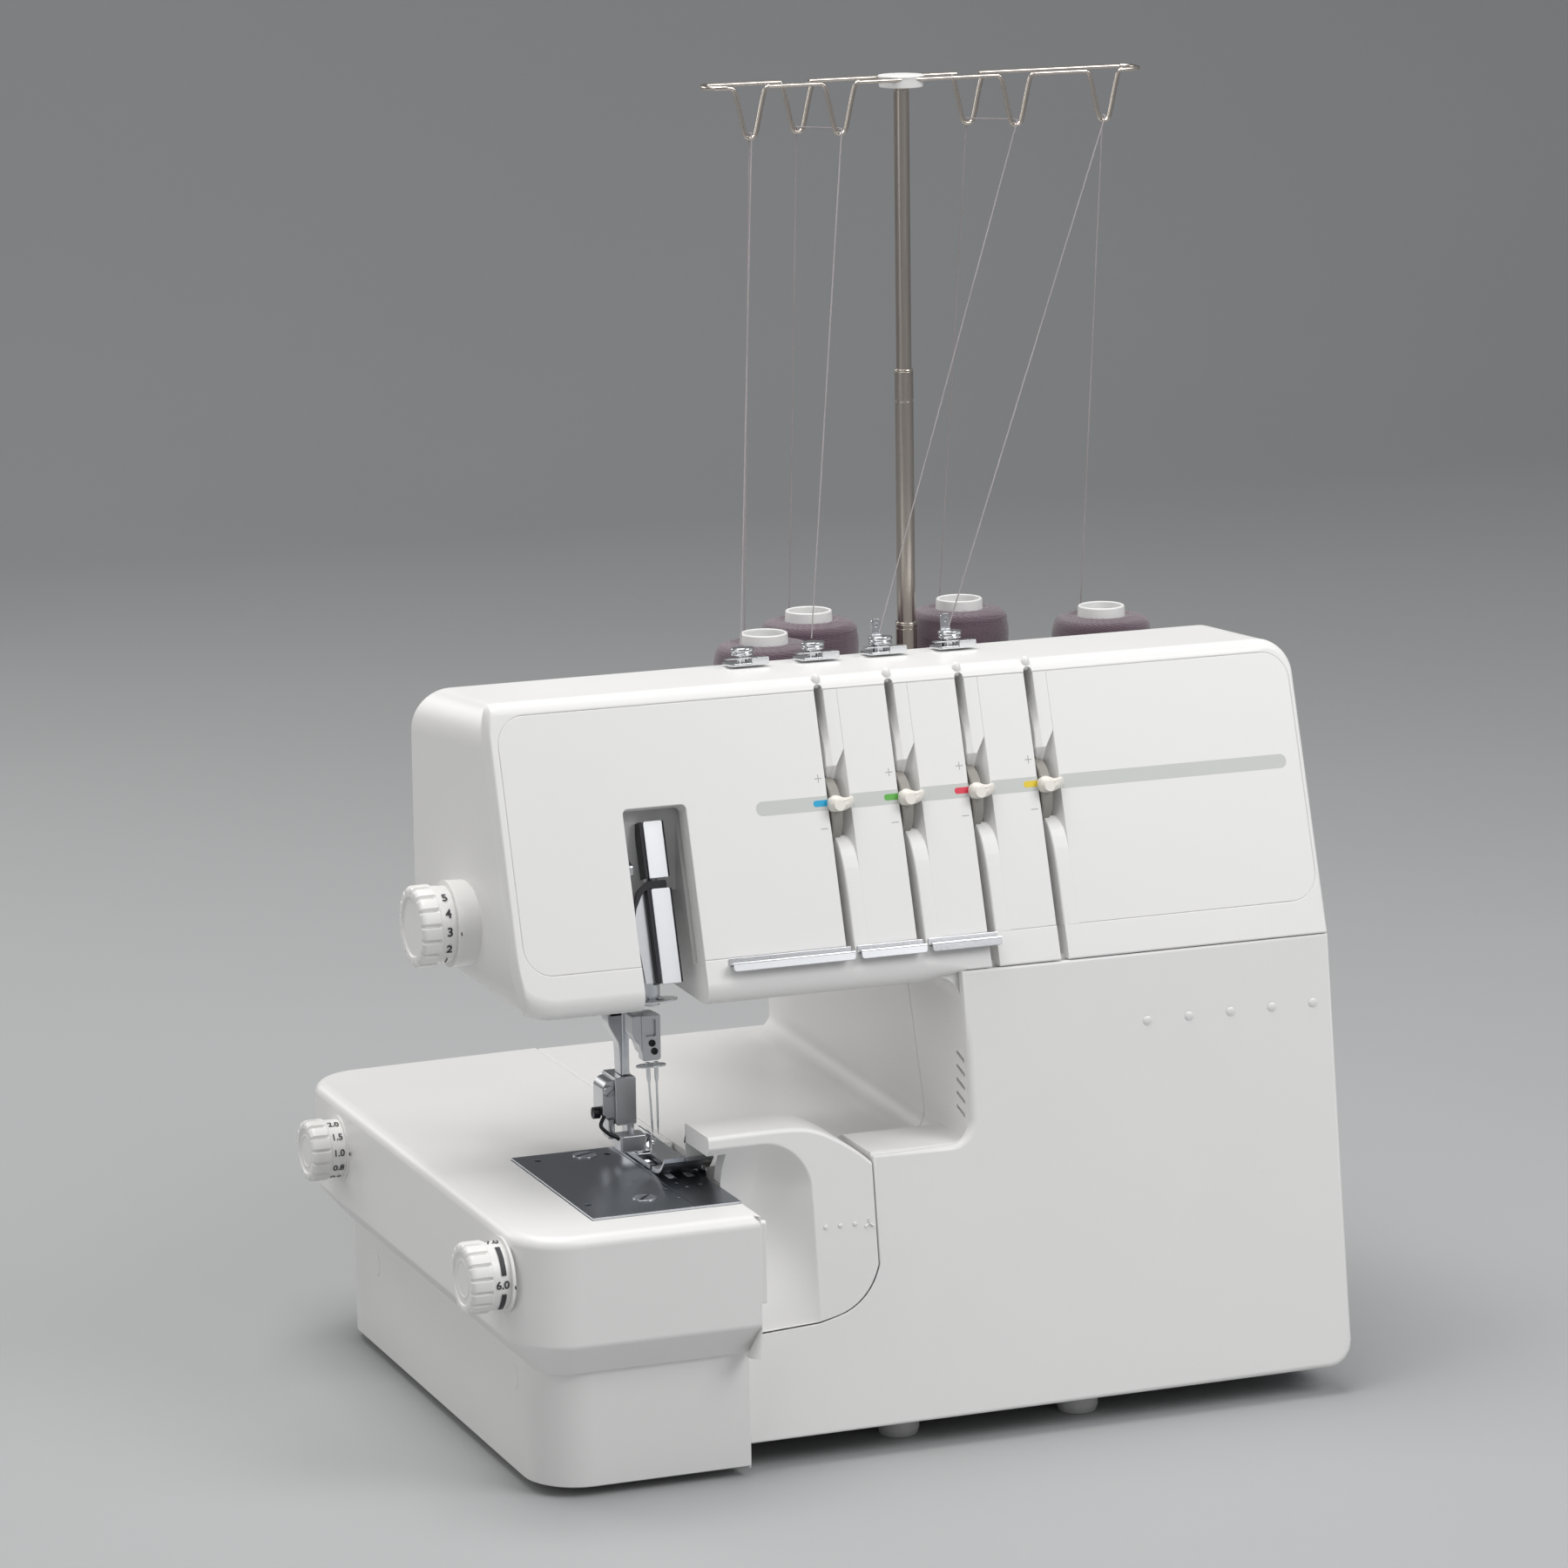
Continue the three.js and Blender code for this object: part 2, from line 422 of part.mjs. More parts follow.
// ---- front panel and what is set in it ----------------------------------------------------------
const tensionUp = upUpper(TENSION_Z);
const [panelLow, panelHigh] = PANEL.z.map(upUpper);
const panelBody = solid(prismZ(
  rectangle(PANEL.x[0], panelLow, PANEL.x[1], panelHigh, 10), -PANEL.depth, 0));
const panelRecess = solid(box(
  RECESS.x[0], RECESS.x[1], 0, upUpper(RECESS.top), -PANEL.depth - 1, 1));
const WINDOW_HALF = 15.5;         // half the height of the window over a tension dial
const CHANNEL = [-2.4, 2.6];      // the thread's channel beside each slot's line
const panelSlots = SLOTS_X.flatMap((x) => [
  solid(box(x + CHANNEL[0], x + CHANNEL[1], panelLow - 1, tensionUp - WINDOW_HALF + 0.5, -8, 1)),
  solid(box(x + CHANNEL[0], x + CHANNEL[1], tensionUp + WINDOW_HALF - 0.5, panelHigh + 1, -8, 1)),
  solid(box(
    x - 1.5, x + 8.5, tensionUp - WINDOW_HALF, tensionUp + WINDOW_HALF, -PANEL.depth - 1, 1))]);
piece('front_panel', cut(panelBody, panelRecess, ...panelSlots), WHITE_PLASTIC, upperFront);

SLOTS_X.forEach((x, i) => {
  const wheel = solid(rodX(0, 0, TENSION_R, 0.8, 6.2, 24));
  const pointer = outline([[-3, 9], [3, 9], [2, TENSION_R + 4, 1], [-2, TENSION_R + 4, 1]]);
  const lever = solid(prismX(pointer, 0.8, 7.6));
  const dial = piece(`tension_dial_${i + 1}`, join(wheel, lever), CREAM_PLASTIC, upperFront);
  dial.position.set(x, tensionUp, -TENSION_R + 3);
});

const stripBack = solid(box(6.3, 115, 9.3, 12.8, GAP, 1.4));
const stripLedge = solid(prismZ(rectangle(6.3, 9.3, 115, 10.5, 0.3), GAP, 5.4));
const NOTCHES_X = [[55.1, 57.6], [84.2, 86.4]];
const stripNotches = NOTCHES_X.map(([x0, x1]) => solid(box(x0, x1, 5, 14, 1.6, 7)));
piece('panel_guide_strip', cut(join(stripBack, stripLedge), ...stripNotches), CHROME, upperFront);

// ---- setting dials on the left side -------------------------------------------------------------
const FLUTES = 12;
const FLUTE_R = 1.3;
Object.entries(DIALS).forEach(([name, { face, y, z, r, length }]) => {
  const profile = [
    [0, 0.6], [r * 0.9, 0.6], [r, 1.6], [r, length - 2.4], [r - 2, length], [r * 0.62, length],
    [r * 0.6, length - 0.8], [0, length - 0.8]];
  const body = solid(turned(profile, 24));
  const flutes = ring(r + 0.5, FLUTES).map((spot) =>
    solid(rodZ(spot.x, spot.y, FLUTE_R, length * 0.55, length + 1, 5)));
  const dial = piece(name, cut(body, ...flutes), WHITE_PLASTIC);
  dial.rotation.y = -Math.PI / 2;
  dial.position.set(face, y, z);
});

// ---- front cover and its inset ------------------------------------------------------------------
const DOOR_LEFT = 1;
const INSET_RIGHT = 58;
const sweep = (gap) => [
  [DOOR_LEFT, upLower(51.2) - gap], [24, upLower(51.8) - gap, 20],
  [INSET_RIGHT - 4 + gap, upLower(60), 12], [INSET_RIGHT + gap, upLower(76), 8]];
const doorShape = outline([
  [DOOR_LEFT, 0], [RIGHT, 0, 9], [RIGHT, upLower(DOOR_TOP_Z)], [COLUMN_LEFT, upLower(DOOR_TOP_Z)],
  [COLUMN_LEFT, upLower(113.5), 8], [INSET_RIGHT + GAP, upLower(112.5)], ...sweep(GAP).reverse()]);
const doorSkin = solid(prismZ(doorShape, -DOOR_THICK, 0));
const doorRims = [
  solid(box(RIGHT - WALL, RIGHT, 9, upLower(DOOR_TOP_Z), -DOOR_RIM, -1)),
  solid(box(DOOR_LEFT, RIGHT - WALL - DOOR_SLIDE - 1, 0, 2.6, -DOOR_RIM, -1))];
piece('front_cover', join(doorSkin, ...doorRims), WHITE_PLASTIC, lowerFront);

const insetFace = outline([
  ...sweep(0), [INSET_RIGHT, upLower(112.3), 3], [50, upLower(119), 10], [34, upLower(124), 10],
  [DOOR_LEFT, upLower(124)]]);
const INSET_THICK = 18;
const insetPlate = solid(prismZ(insetFace, -INSET_THICK, 0));
const insetHollow = solid(prismZ(outline([
  [36, 35], [INSET_RIGHT + 2, 35], [INSET_RIGHT + 2, upLower(108)], [36, upLower(112)]]),
-INSET_THICK - 1, -DOOR_THICK));
const ridgeShape = outline([
  [-2, 109.5], [-2, 124, 3], [34, 124, 10], [50, 119, 10], [57.4, 112.3, 2], [57.4, 109],
  [40, 107], [1, 107]]);
const ridge = solid(prismY(ridgeShape, 18, 40.4).applyMatrix4(lowerFront.matrix.clone().invert()));
const SCOOP = { r: 58, z: [55, 118], lean: 0.1, x: -19, out: 41.5 };
const [scoopLow, scoopHigh] = SCOOP.z.map(upLower);
const scoop = solid(new THREE.CylinderGeometry(SCOOP.r, SCOOP.r, scoopHigh - scoopLow, 48)
  .rotateZ(SCOOP.lean).translate(SCOOP.x, (scoopLow + scoopHigh) / 2, SCOOP.out));
piece('front_cover_inset', join(cut(insetPlate, insetHollow, scoop), ridge), WHITE_PLASTIC, lowerFront);

piece('hinge_rod', rodX(HINGE_ROD.y, HINGE_ROD.z, HINGE_ROD.r, ...HINGE_ROD.x, 16), STEEL);

// ---- drive: handwheel, shaft, motor, belt -------------------------------------------------------
piece('main_shaft', join(
  solid(rodX(SHAFT.y, SHAFT.z, SHAFT.r, 14, HANDWHEEL.x[0] - GAP)),
  solid(rodX(SHAFT.y, SHAFT.z, SHAFT_PULLEY_R, ...PULLEY_X, 28))), STEEL);
const wheelWidth = HANDWHEEL.x[1] - HANDWHEEL.x[0];
const wheelProfile = [
  [0, 0], [HANDWHEEL.r - 3, 0], [HANDWHEEL.r, 3], [HANDWHEEL.r, wheelWidth - 5],
  [HANDWHEEL.r - 5, wheelWidth], [HANDWHEEL.r - 12, wheelWidth - 2], [0, wheelWidth - 3]];
const handwheel = piece('handwheel', turned(wheelProfile, 28), WHITE_PLASTIC);
handwheel.rotation.y = Math.PI / 2;
handwheel.position.set(HANDWHEEL.x[0], SHAFT.y, SHAFT.z);
piece('motor', join(
  solid(rodX(MOTOR.y, MOTOR.z, MOTOR.r, ...MOTOR.x, 32)),
  solid(rodX(MOTOR.y, MOTOR.z, 12, MOTOR.x[0] - 8, MOTOR.x[1]))), CAST_METAL);
piece('motor_pulley', join(
  solid(rodX(MOTOR.y, MOTOR.z, 3, MOTOR.x[1] + GAP, PULLEY_X[1])),
  solid(rodX(MOTOR.y, MOTOR.z, MOTOR_PULLEY_R, ...PULLEY_X))), STEEL);

/** Outline round both pulleys, `away` millimetres off them. */
function beltLoop(away, Kind) {
  const dy = MOTOR.y - SHAFT.y;
  const dz = MOTOR.z - SHAFT.z;
  const line = Math.atan2(dz, dy);
  const open = Math.acos((SHAFT_PULLEY_R - MOTOR_PULLEY_R) / Math.hypot(dy, dz));
  return new Kind()
    .absarc(SHAFT.y, SHAFT.z, SHAFT_PULLEY_R + away, line + open, line - open + 2 * Math.PI, false)
    .absarc(MOTOR.y, MOTOR.z, MOTOR_PULLEY_R + away, line - open, line + open, false);
}
const beltShape = beltLoop(2.4, THREE.Shape);
beltShape.holes.push(beltLoop(0.4, THREE.Path));
piece('drive_belt', prismX(beltShape, PULLEY_X[0] + 1, PULLEY_X[1] - 1, 9), BLACK_PLASTIC);

const socketShape = rectangle(
  INLET.y[0] + 3, INLET.z[0] + 3, INLET.y[1] - 3, INLET.z[1] - 3, 3);
piece('power_inlet', cut(
  solid(box(RIGHT - 14, RIGHT + 0.6, ...INLET.y, ...INLET.z)),
  solid(prismX(socketShape, RIGHT - 12, RIGHT + 2))), BLACK_PLASTIC);
const middleY = (SWITCH.y[0] + SWITCH.y[1]) / 2;
piece('power_switch', prismZ(outline([
  [RIGHT - 6, middleY - 7], [RIGHT + 0.4, SWITCH.y[0]], [RIGHT + 0.2, middleY],
  [RIGHT + 3.4, SWITCH.y[1] - 0.4], [RIGHT - 6, middleY + 7]]), ...SWITCH.z), BLACK_PLASTIC);

// ---- thread supply: stand, spools, mast, guides, threads ----------------------------------------
const standPlan = rectangle(46, 136, 246, 234, 12);
const standHole = solid(rodZ(MAST.x, MAST.y, 5, REAR_TOP - 5, STAND_TOP + 5));
const PIN_R = 3;
const SEAT_R = 15;
const pins = SPOOLS.flatMap(([x, y]) => [
  solid(rodZ(x, y, PIN_R, STAND_TOP - 1, SPOOL.top - 8, 12)),
  solid(rodZ(x, y, SEAT_R, STAND_TOP - 1, STAND_TOP + 1.6, 16))]);
const standPlate = solid(prismZ(standPlan, REAR_TOP + GAP, STAND_TOP));
piece('spool_stand', cut(join(standPlate, ...pins), standHole), WHITE_PLASTIC);

SPOOLS.forEach(([x, y], i) => {
  const { bottom, top, r, bore, coreTop, coreBottom } = SPOOL;
  const height = top - bottom;
  const spool = piece(`spool_${i + 1}`, turned([
    [bore, 0], [coreBottom, 0], [coreBottom, 3], [r, 5], [r, height - 12], [r - 1.5, height - 8],
    [coreTop, height - 7], [coreTop, height], [bore, height], [bore, 0]], 20), THREAD_FIBRE);
  spool.position.set(x, y, bottom);
});

const tube = (name, r, bore, z0, z1) => {
  const profile = bore > 0
    ? [[bore, z0], [r, z0], [r, z1], [bore, z1], [bore, z0]]
    : [[0, z0], [r, z0], [r, z1], [0, z1]];
  piece(name, turned(profile, 24), NICKEL).position.set(MAST.x, MAST.y, 0);
};
tube('mast_base_tube', 4.4, 4, 180, 282);
tube('mast_middle_tube', 3.75, 3.4, 270, 384);
tube('mast_top_tube', 3.1, 0, 372, 495.6);

/** One run of the guide wire from x0 to x1 with V-shaped hooks on the way. */
function hookedRun(hooks, from, to, y) {
  const way = Math.sign(to - from);
  const ordered = [...hooks].sort((a, b) => way * (a - b));
  const shape = [
    [-8.5, 0], [-6.5, 0.8], [-2.2, HOOK_DEPTH - 2], [0, HOOK_DEPTH - 0.3], [2.2, HOOK_DEPTH - 2],
    [6.5, 0.8], [8.5, 0]];
  return ordered.flatMap((x) => shape.map(([along, down]) => [x + way * along, y, BAR_Z - down]));
}
const front = MAST.y - BAR_HALF;
const rear = MAST.y + BAR_HALF;
const barEnd = (x, side) => [
  [x - side * 5, front, BAR_Z], [x - side * 1.5, front + 2.5, BAR_Z], [x, MAST.y, BAR_Z],
  [x - side * 1.5, rear - 2.5, BAR_Z], [x - side * 5, rear, BAR_Z]];
const wirePath = [
  [MAST.x, front, BAR_Z],
  ...hookedRun(FRONT_HOOKS_X.slice(2), MAST.x, BAR_X[1], front),
  ...barEnd(BAR_X[1], 1),
  ...hookedRun(BACK_HOOKS_X, BAR_X[1], BAR_X[0], rear),
  ...barEnd(BAR_X[0], -1).reverse(),
  ...hookedRun(FRONT_HOOKS_X.slice(0, 2), BAR_X[0], MAST.x, front),
  [MAST.x - 1, front, BAR_Z]];
const wirePoints = wirePath.map((p) => new THREE.Vector3(...p));
const wireCurve = new THREE.CatmullRomCurve3(wirePoints, false, 'centripetal');
const hub = solid(rodZ(MAST.x, MAST.y, 9.2, 496, 501, 28));
piece('thread_guide_bar', join(hub, solid(wire(wireCurve, WIRE_R, 150, 6))), NICKEL);

const topSlope = -Math.atan2(ARM_TOP - ARM_TOP_BACK, ARM_BACK - upperY(ARM_TOP));
const topZ = (y) => ARM_TOP + (y - upperY(ARM_TOP)) * Math.tan(topSlope);
GUIDES_X.forEach((x, i) => {
  const base = solid(prismZ(rectangle(-7, -6, 9, 6, 1), 0, 1.2));
  const post = solid(rodZ(0, 0, 2.4, 1, 7, 16));
  const cap = solid(rodZ(0, 0, 4.6, 4.6, 7, 20));
  const tab = solid(box(5, 8.8, 4.4, 5.6, 1, i < 2 ? 5 : 13));
  const guide = piece(`pretension_guide_${i + 1}`, join(base, post, cap, tab), CHROME);
  guide.rotation.x = topSlope;
  guide.position.set(x, GUIDE_Y, topZ(GUIDE_Y) + GAP);
});

/** Straight round strand from one point to another. */
function strand(from, to) {
  const way = to.clone().sub(from);
  const upright = new THREE.Vector3(0, 1, 0);
  const turn = new THREE.Quaternion().setFromUnitVectors(upright, way.clone().normalize());
  return solid(new THREE.CylinderGeometry(THREAD_R, THREAD_R, way.length(), 8)
    .applyQuaternion(turn).translate(...from.clone().add(to).multiplyScalar(0.5)));
}
const hookSeat = BAR_Z - HOOK_DEPTH + WIRE_R + THREAD_R + 1;
const overHook = (x, y) => [1.4, -1.4].map((dy) => [x, y + dy, hookSeat]);
const threadHooks = [
  overHook(FRONT_HOOKS_X[0], front),
  [...overHook(BACK_HOOKS_X[0], rear), ...overHook(FRONT_HOOKS_X[1], front)],
  [...overHook(BACK_HOOKS_X[1], rear), ...overHook(FRONT_HOOKS_X[2], front)],
  overHook(FRONT_HOOKS_X[3], front),
];
threadHooks.forEach((hooks, i) => {
  const [x, y] = SPOOLS[i];
  const start = [x - 3, y + 14, SPOOL.top - 5.5];
  const end = [GUIDES_X[i] - 1, GUIDE_Y - 1, topZ(GUIDE_Y) + 8.4];
  const stops = [start, ...hooks, end].map((p) => new THREE.Vector3(...p));
  piece(`thread_${i + 1}`, join(...stops.slice(1).map((p, k) => strand(stops[k], p))), THREAD_FIBRE);
});

// ---- frame: the origin is the middle of the bottom of the whole box -----------------------------
const leftEnd = DECK_LEFT - DIALS.cutting_width_dial.length;
machine.position.set(-(leftEnd + HANDWHEEL.x[1]) / 2, -(DECK_FRONT + BACK) / 2, 0);
const group = new THREE.Group();
group.add(machine);

export default group;
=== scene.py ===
"""Four-thread serger (overlock) machine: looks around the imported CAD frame, in Blender 4.5.

Shapes are drawn in machine millimetres, as in part.mjs: X = 0 is the needle plate's right edge,
Y = 0 the foot of the front cover and Z = 0 the table. put() turns them into the frame's metres.
"""
import math
import random

import bmesh
import bpy
from mathutils import Matrix, Vector
from mathutils.geometry import tessellate_polygon


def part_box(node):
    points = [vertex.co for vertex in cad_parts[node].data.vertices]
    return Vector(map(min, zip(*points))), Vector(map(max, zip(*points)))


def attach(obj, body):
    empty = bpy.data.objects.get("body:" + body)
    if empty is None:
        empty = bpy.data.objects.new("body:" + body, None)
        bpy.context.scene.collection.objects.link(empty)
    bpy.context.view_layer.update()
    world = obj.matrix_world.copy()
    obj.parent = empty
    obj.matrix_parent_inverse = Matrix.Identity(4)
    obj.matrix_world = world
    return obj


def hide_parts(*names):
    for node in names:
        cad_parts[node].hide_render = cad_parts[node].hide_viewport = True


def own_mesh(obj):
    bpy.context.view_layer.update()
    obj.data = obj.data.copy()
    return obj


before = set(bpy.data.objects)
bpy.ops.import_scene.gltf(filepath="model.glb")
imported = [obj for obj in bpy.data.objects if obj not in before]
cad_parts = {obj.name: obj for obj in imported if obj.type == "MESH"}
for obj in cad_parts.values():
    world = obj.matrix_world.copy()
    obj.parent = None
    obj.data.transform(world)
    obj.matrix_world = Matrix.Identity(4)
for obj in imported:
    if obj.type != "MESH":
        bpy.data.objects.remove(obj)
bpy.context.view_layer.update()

MM = 0.001
random.seed(7)

# ---- where the machine stands in the frame, and its driving sizes -------------------------------
SHIFT = Vector((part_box("needle_plate")[1].x / MM - 0.1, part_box("front_cover")[0].y / MM, 0))


def put(x, y, z):
    """Machine millimetres -> the frame's metres."""
    return (Vector((x, y, z)) + SHIFT) * MM


def span(node):
    """Lowest and highest corner of a CAD node, in machine millimetres."""
    low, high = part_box(node)
    return low / MM - SHIFT, high / MM - SHIFT


HOUSING = span("rear_housing")
DECK = span("deck_cover")
LOWER = span("lower_left_cover")
PLATE = span("needle_plate")
LEFT, RIGHT, BACK = HOUSING[0].x, HOUSING[1].x, HOUSING[1].y
BOTTOM = HOUSING[0].z
ARM_TOP, ARM_TOP_BACK, ARM_BACK, ARM_BOTTOM = HOUSING[1].z, 285, 120, 176
COLUMN_X, COLUMN_X_BACK = 98.5, 106
BED_TOP = DECK[1].z
REAR_TOP = 212
SEAM_Z = 178.3
LOWER_LEAN, UPPER_LEAN = 0.15, 0.33
PANEL_X, PANEL_Z = (-73, 250), (191, 283.4)
SLOTS_X = [53.6, 82.3, 111.1, 139.6]
SLOT_WIDE = 9.4
BAND_Z = (240.2, 245.4)
RECESS_X, RECESS_TOP = (-28, -3), 247


def lower_y(z):
    """Front cover's face at height z."""
    return LOWER_LEAN * (z - BOTTOM)


UPPER_START = lower_y(SEAM_Z)


def upper_y(z):
    """Arm's leaning face at height z."""
    return UPPER_START + UPPER_LEAN * (z - SEAM_Z)


def on_face(face_y, lean):
    """Place function of a slab whose front lies on a leaning face; depth runs square to the face."""
    length = math.hypot(1, lean)
    into = Vector((0, 1 / length, -lean / length))
    return lambda x, z, depth: Vector((x, face_y(z), z)) + into * depth


on_upper = on_face(upper_y, UPPER_LEAN)
on_lower = on_face(lower_y, LOWER_LEAN)


# ---- shape tools --------------------------------------------------------------------------------
ARC = math.radians(9)


def fillet(corners, closed=True):
    """Outline through (u, v, radius, edge) corners with arcs; edge, or (before, after), is the
    rounding that the outline's edge has there. Gives [(point, edge)]."""
    path = []
    count = len(corners)
    for i, corner in enumerate(corners):
        u, v, radius, edge = (*corner, 0, 1)[:4] if len(corner) == 2 else (*corner, 1)[:4]
        before, after = edge if isinstance(edge, tuple) else (edge, edge)
        here = Vector((u, v))
        if radius == 0 or (not closed and i in (0, count - 1)):
            path.append((here, (before + after) / 2))
            continue
        to_last = (Vector(corners[i - 1][:2]) - here).normalized()
        to_next = (Vector(corners[(i + 1) % count][:2]) - here).normalized()
        half = math.acos(max(-1, min(1, to_last.dot(to_next)))) / 2
        centre = here + (to_last + to_next).normalized() * radius / math.sin(half)
        start = here + to_last * radius / math.tan(half) - centre
        sweep = (math.pi - 2 * half) * (-1 if to_last.cross(to_next) > 0 else 1)
        steps = max(3, math.ceil(abs(sweep) / ARC))
        for k in range(steps + 1):
            share = k / steps
            turned = Matrix.Rotation(sweep * share, 2) @ start
            path.append((centre + turned, before + (after - before) * share))
    return path


def inset(path, amount):
    """Points of a closed outline moved inwards by amount times each point's edge value."""
    out = []
    for i, (here, edge) in enumerate(path):
        one = (here - path[i - 1][0]).normalized()
        two = (path[(i + 1) % len(path)][0] - here).normalized()
        n1, n2 = Vector((-one.y, one.x)), Vector((-two.y, two.x))
        out.append(here + (n1 + n2) * amount * edge / max(0.3, 1 + n1.dot(n2)))
    return out


class Geo:
    """Vertices in machine millimetres and faces, built up loop by loop."""

    def __init__(self):
        self.verts, self.faces = [], []

    def loop(self, points):
        start = len(self.verts)
        self.verts += [Vector(p) for p in points]
        return list(range(start, len(self.verts)))

    def strip(self, a, b, closed=True):
        count = len(a)
        for i in range(count if closed else count - 1):
            j = (i + 1) % count
            self.faces.append([a[i], a[j], b[j], b[i]])

    def fill(self, loops, flat):
        """Closes a face between an outline and its holes; flat holds their points in 2-D."""
        if len(loops) == 1:
            self.faces.append(list(loops[0]))
            return
        index = [i for one in loops for i in one]
        triangles = tessellate_polygon([[(p.x, p.y, 0) for p in one] for one in flat])
        self.faces += [[index[i] for i in triangle] for triangle in triangles]


def stack(corners, rings, place, holes=(), caps=True):
    """Closed body: one ring of the outline for each (inset, depth times edge, depth) triple."""
    geo = Geo()
    path = fillet(corners)
    loops, flats = [], []
    for amount, of_edge, depth in rings:
        flat = inset(path, amount)
        flats.append(flat)
        loops.append(geo.loop([place(p.x, p.y, of_edge * edge + depth)
                               for p, (_, edge) in zip(flat, path)]))
    for a, b in zip(loops, loops[1:]):
        geo.strip(a, b)
    cap_loops, cap_flats = [loops[0]], [flats[0]]
    for hole, lip, deep in holes:
        edge_path = [(p, 1) for p, _ in fillet(hole)]
        ring = None
        for k in range(4):
            angle = math.pi / 2 * k / 3
            flat = inset(edge_path, -lip * (1 - math.sin(angle)))
            new = geo.loop([place(p.x, p.y, lip * (1 - math.cos(angle))) for p in flat])
            if ring is None:
                cap_loops.append(new)
                cap_flats.append(flat)
            else:
                geo.strip(ring, new)
            ring = new
        floor = geo.loop([place(p.x, p.y, deep) for p, _ in edge_path])
        geo.strip(ring, floor)
        geo.faces.append(floor)
    if caps:
        geo.fill(cap_loops, cap_flats)
        geo.faces.append(list(loops[-1]))
    return geo


def rounded(thick, back=0.4, steps=4):
    """Rings of a slab: a front edge rounded by each point's edge value, and a small back edge."""
    turns = [math.pi / 2 * k / steps for k in range(steps + 1)]
    front = [(1 - math.sin(a), 1 - math.cos(a), 0) for a in turns]
    rear = [(0, 0, thick - back), (back, 0, thick)]
    return front + rear


def slab(corners, thick, place, back=0.4, holes=(), steps=4):
    return stack(corners, rounded(thick, back, steps), place, holes)


def flat_z(top):
    """Place function of a slab lying flat, measured down from its top."""
    return lambda x, y, depth: Vector((x, y, top - depth))


def across_x(left, way=1):
    """Place function of a slab whose outline is in Y, Z; depth runs along X."""
    return lambda y, z, depth: Vector((left + way * depth, y, z))


def across_y(front, way=1):
    """Place function of a slab whose outline is in X, Z; depth runs along Y."""
    return lambda x, z, depth: Vector((x, front + way * depth, z))


def edged(edge, *corners):
    """Corners (u, v) or (u, v, radius) that share one edge value."""
    return [(c[0], c[1], c[2] if len(c) > 2 else 0, edge) for c in corners]


def circle(u, v, radius, sides, *rest, tall=None):
    """Corners of a round or oval outline, each followed by the rest."""
    turns = steps_between(0, 2 * math.pi, sides)[:-1]
    return [(u + radius * math.cos(a), v + (tall or radius) * math.sin(a), *rest) for a in turns]


def rectangle(u0, v0, u1, v1, radius=0, edge=0.5):
    return [(u0, v0, radius, edge), (u1, v0, radius, edge), (u1, v1, radius, edge),
            (u0, v1, radius, edge)]


def block(x0, x1, y0, y1, z0, z1, radius=1, edge=0.4):
    """Box with soft edges."""
    most = min(x1 - x0, y1 - y0) / 2.05
    return slab(rectangle(x0, y0, x1, y1, min(radius, most), edge), z1 - z0, flat_z(z1),
                back=min(edge, 0.4))


def lathe(profile, place, sides=64, wave=None):
    """Body of revolution; place(x, y, h) sets it up and wave(angle, i) scales a ring's radius."""
    geo = Geo()
    loops = []
    for i, (r, h) in enumerate(profile):
        if r < 1e-6:
            loops.append(geo.loop([place(0, 0, h)]))
            continue
        ring = []
        for k in range(sides):
            angle = 2 * math.pi * k / sides
            length = r * (wave(angle, i) if wave else 1)
            ring.append(place(length * math.cos(angle), length * math.sin(angle), h))
        loops.append(geo.loop(ring))
    for a, b in zip(loops, loops[1:]):
        if len(a) == 1 or len(b) == 1:
            tip, ring = (a[0], b) if len(a) == 1 else (b[0], a)
            geo.faces += [[tip, ring[k], ring[(k + 1) % len(ring)]] for k in range(len(ring))]
        else:
            geo.strip(a, b)
    return geo


def profile(*corners):
    """Open profile (r, h, radius) with its corners rounded."""
    return [(p.x, p.y) for p, _ in fillet([(*c, 0)[:3] for c in corners], closed=False)]


def upright(x, y, z=0):
    return lambda a, b, h: Vector((x + a, y + b, z + h))


def leftward(x, y, z):
    return lambda a, b, h: Vector((x - h, y - a, z + b))


def rightward(x, y, z):
    return lambda a, b, h: Vector((x + h, y + a, z + b))


def frontward(x, y, z):
    return lambda a, b, h: Vector((x + a, y - h, z + b))


def smooth_path(points, steps=6):
    """Catmull-Rom points through a list of stops."""
    stops = [Vector(p) for p in points]
    stops = [2 * stops[0] - stops[1]] + stops + [2 * stops[-1] - stops[-2]]
    out = []
    for i in range(1, len(stops) - 2):
        a, b, c, d = stops[i - 1:i + 3]
        for k in range(steps):
            t = k / steps
            out.append(0.5 * (2 * b + (c - a) * t + (2 * a - 5 * b + 4 * c - d) * t * t
                              + (3 * b - a - 3 * c + d) * t ** 3))
    return out + [stops[-2]]


def tube(points, radius, sides=12, squeeze=1.0):
    """Round bar along points, closed at both ends; radius is a number or a function of 0..1."""
    geo = Geo()
    size = radius if callable(radius) else (lambda share: radius)
    side = None
    loops = []
    count = len(points)
    for i, here in enumerate(points):
        ahead = (points[min(i + 1, count - 1)] - points[max(i - 1, 0)]).normalized()
        if side is None:
            side = ahead.orthogonal().normalized()
        side = (side - ahead * side.dot(ahead)).normalized()
        up = ahead.cross(side)
        r = size(i / (count - 1))
        loops.append(geo.loop([here + side * r * math.cos(2 * math.pi * k / sides)
                               + up * r * squeeze * math.sin(2 * math.pi * k / sides) for k in range(sides)]))
    for a, b in zip(loops, loops[1:]):
        geo.strip(a, b)
    geo.faces += [loops[0][::-1], loops[-1]]
    return geo


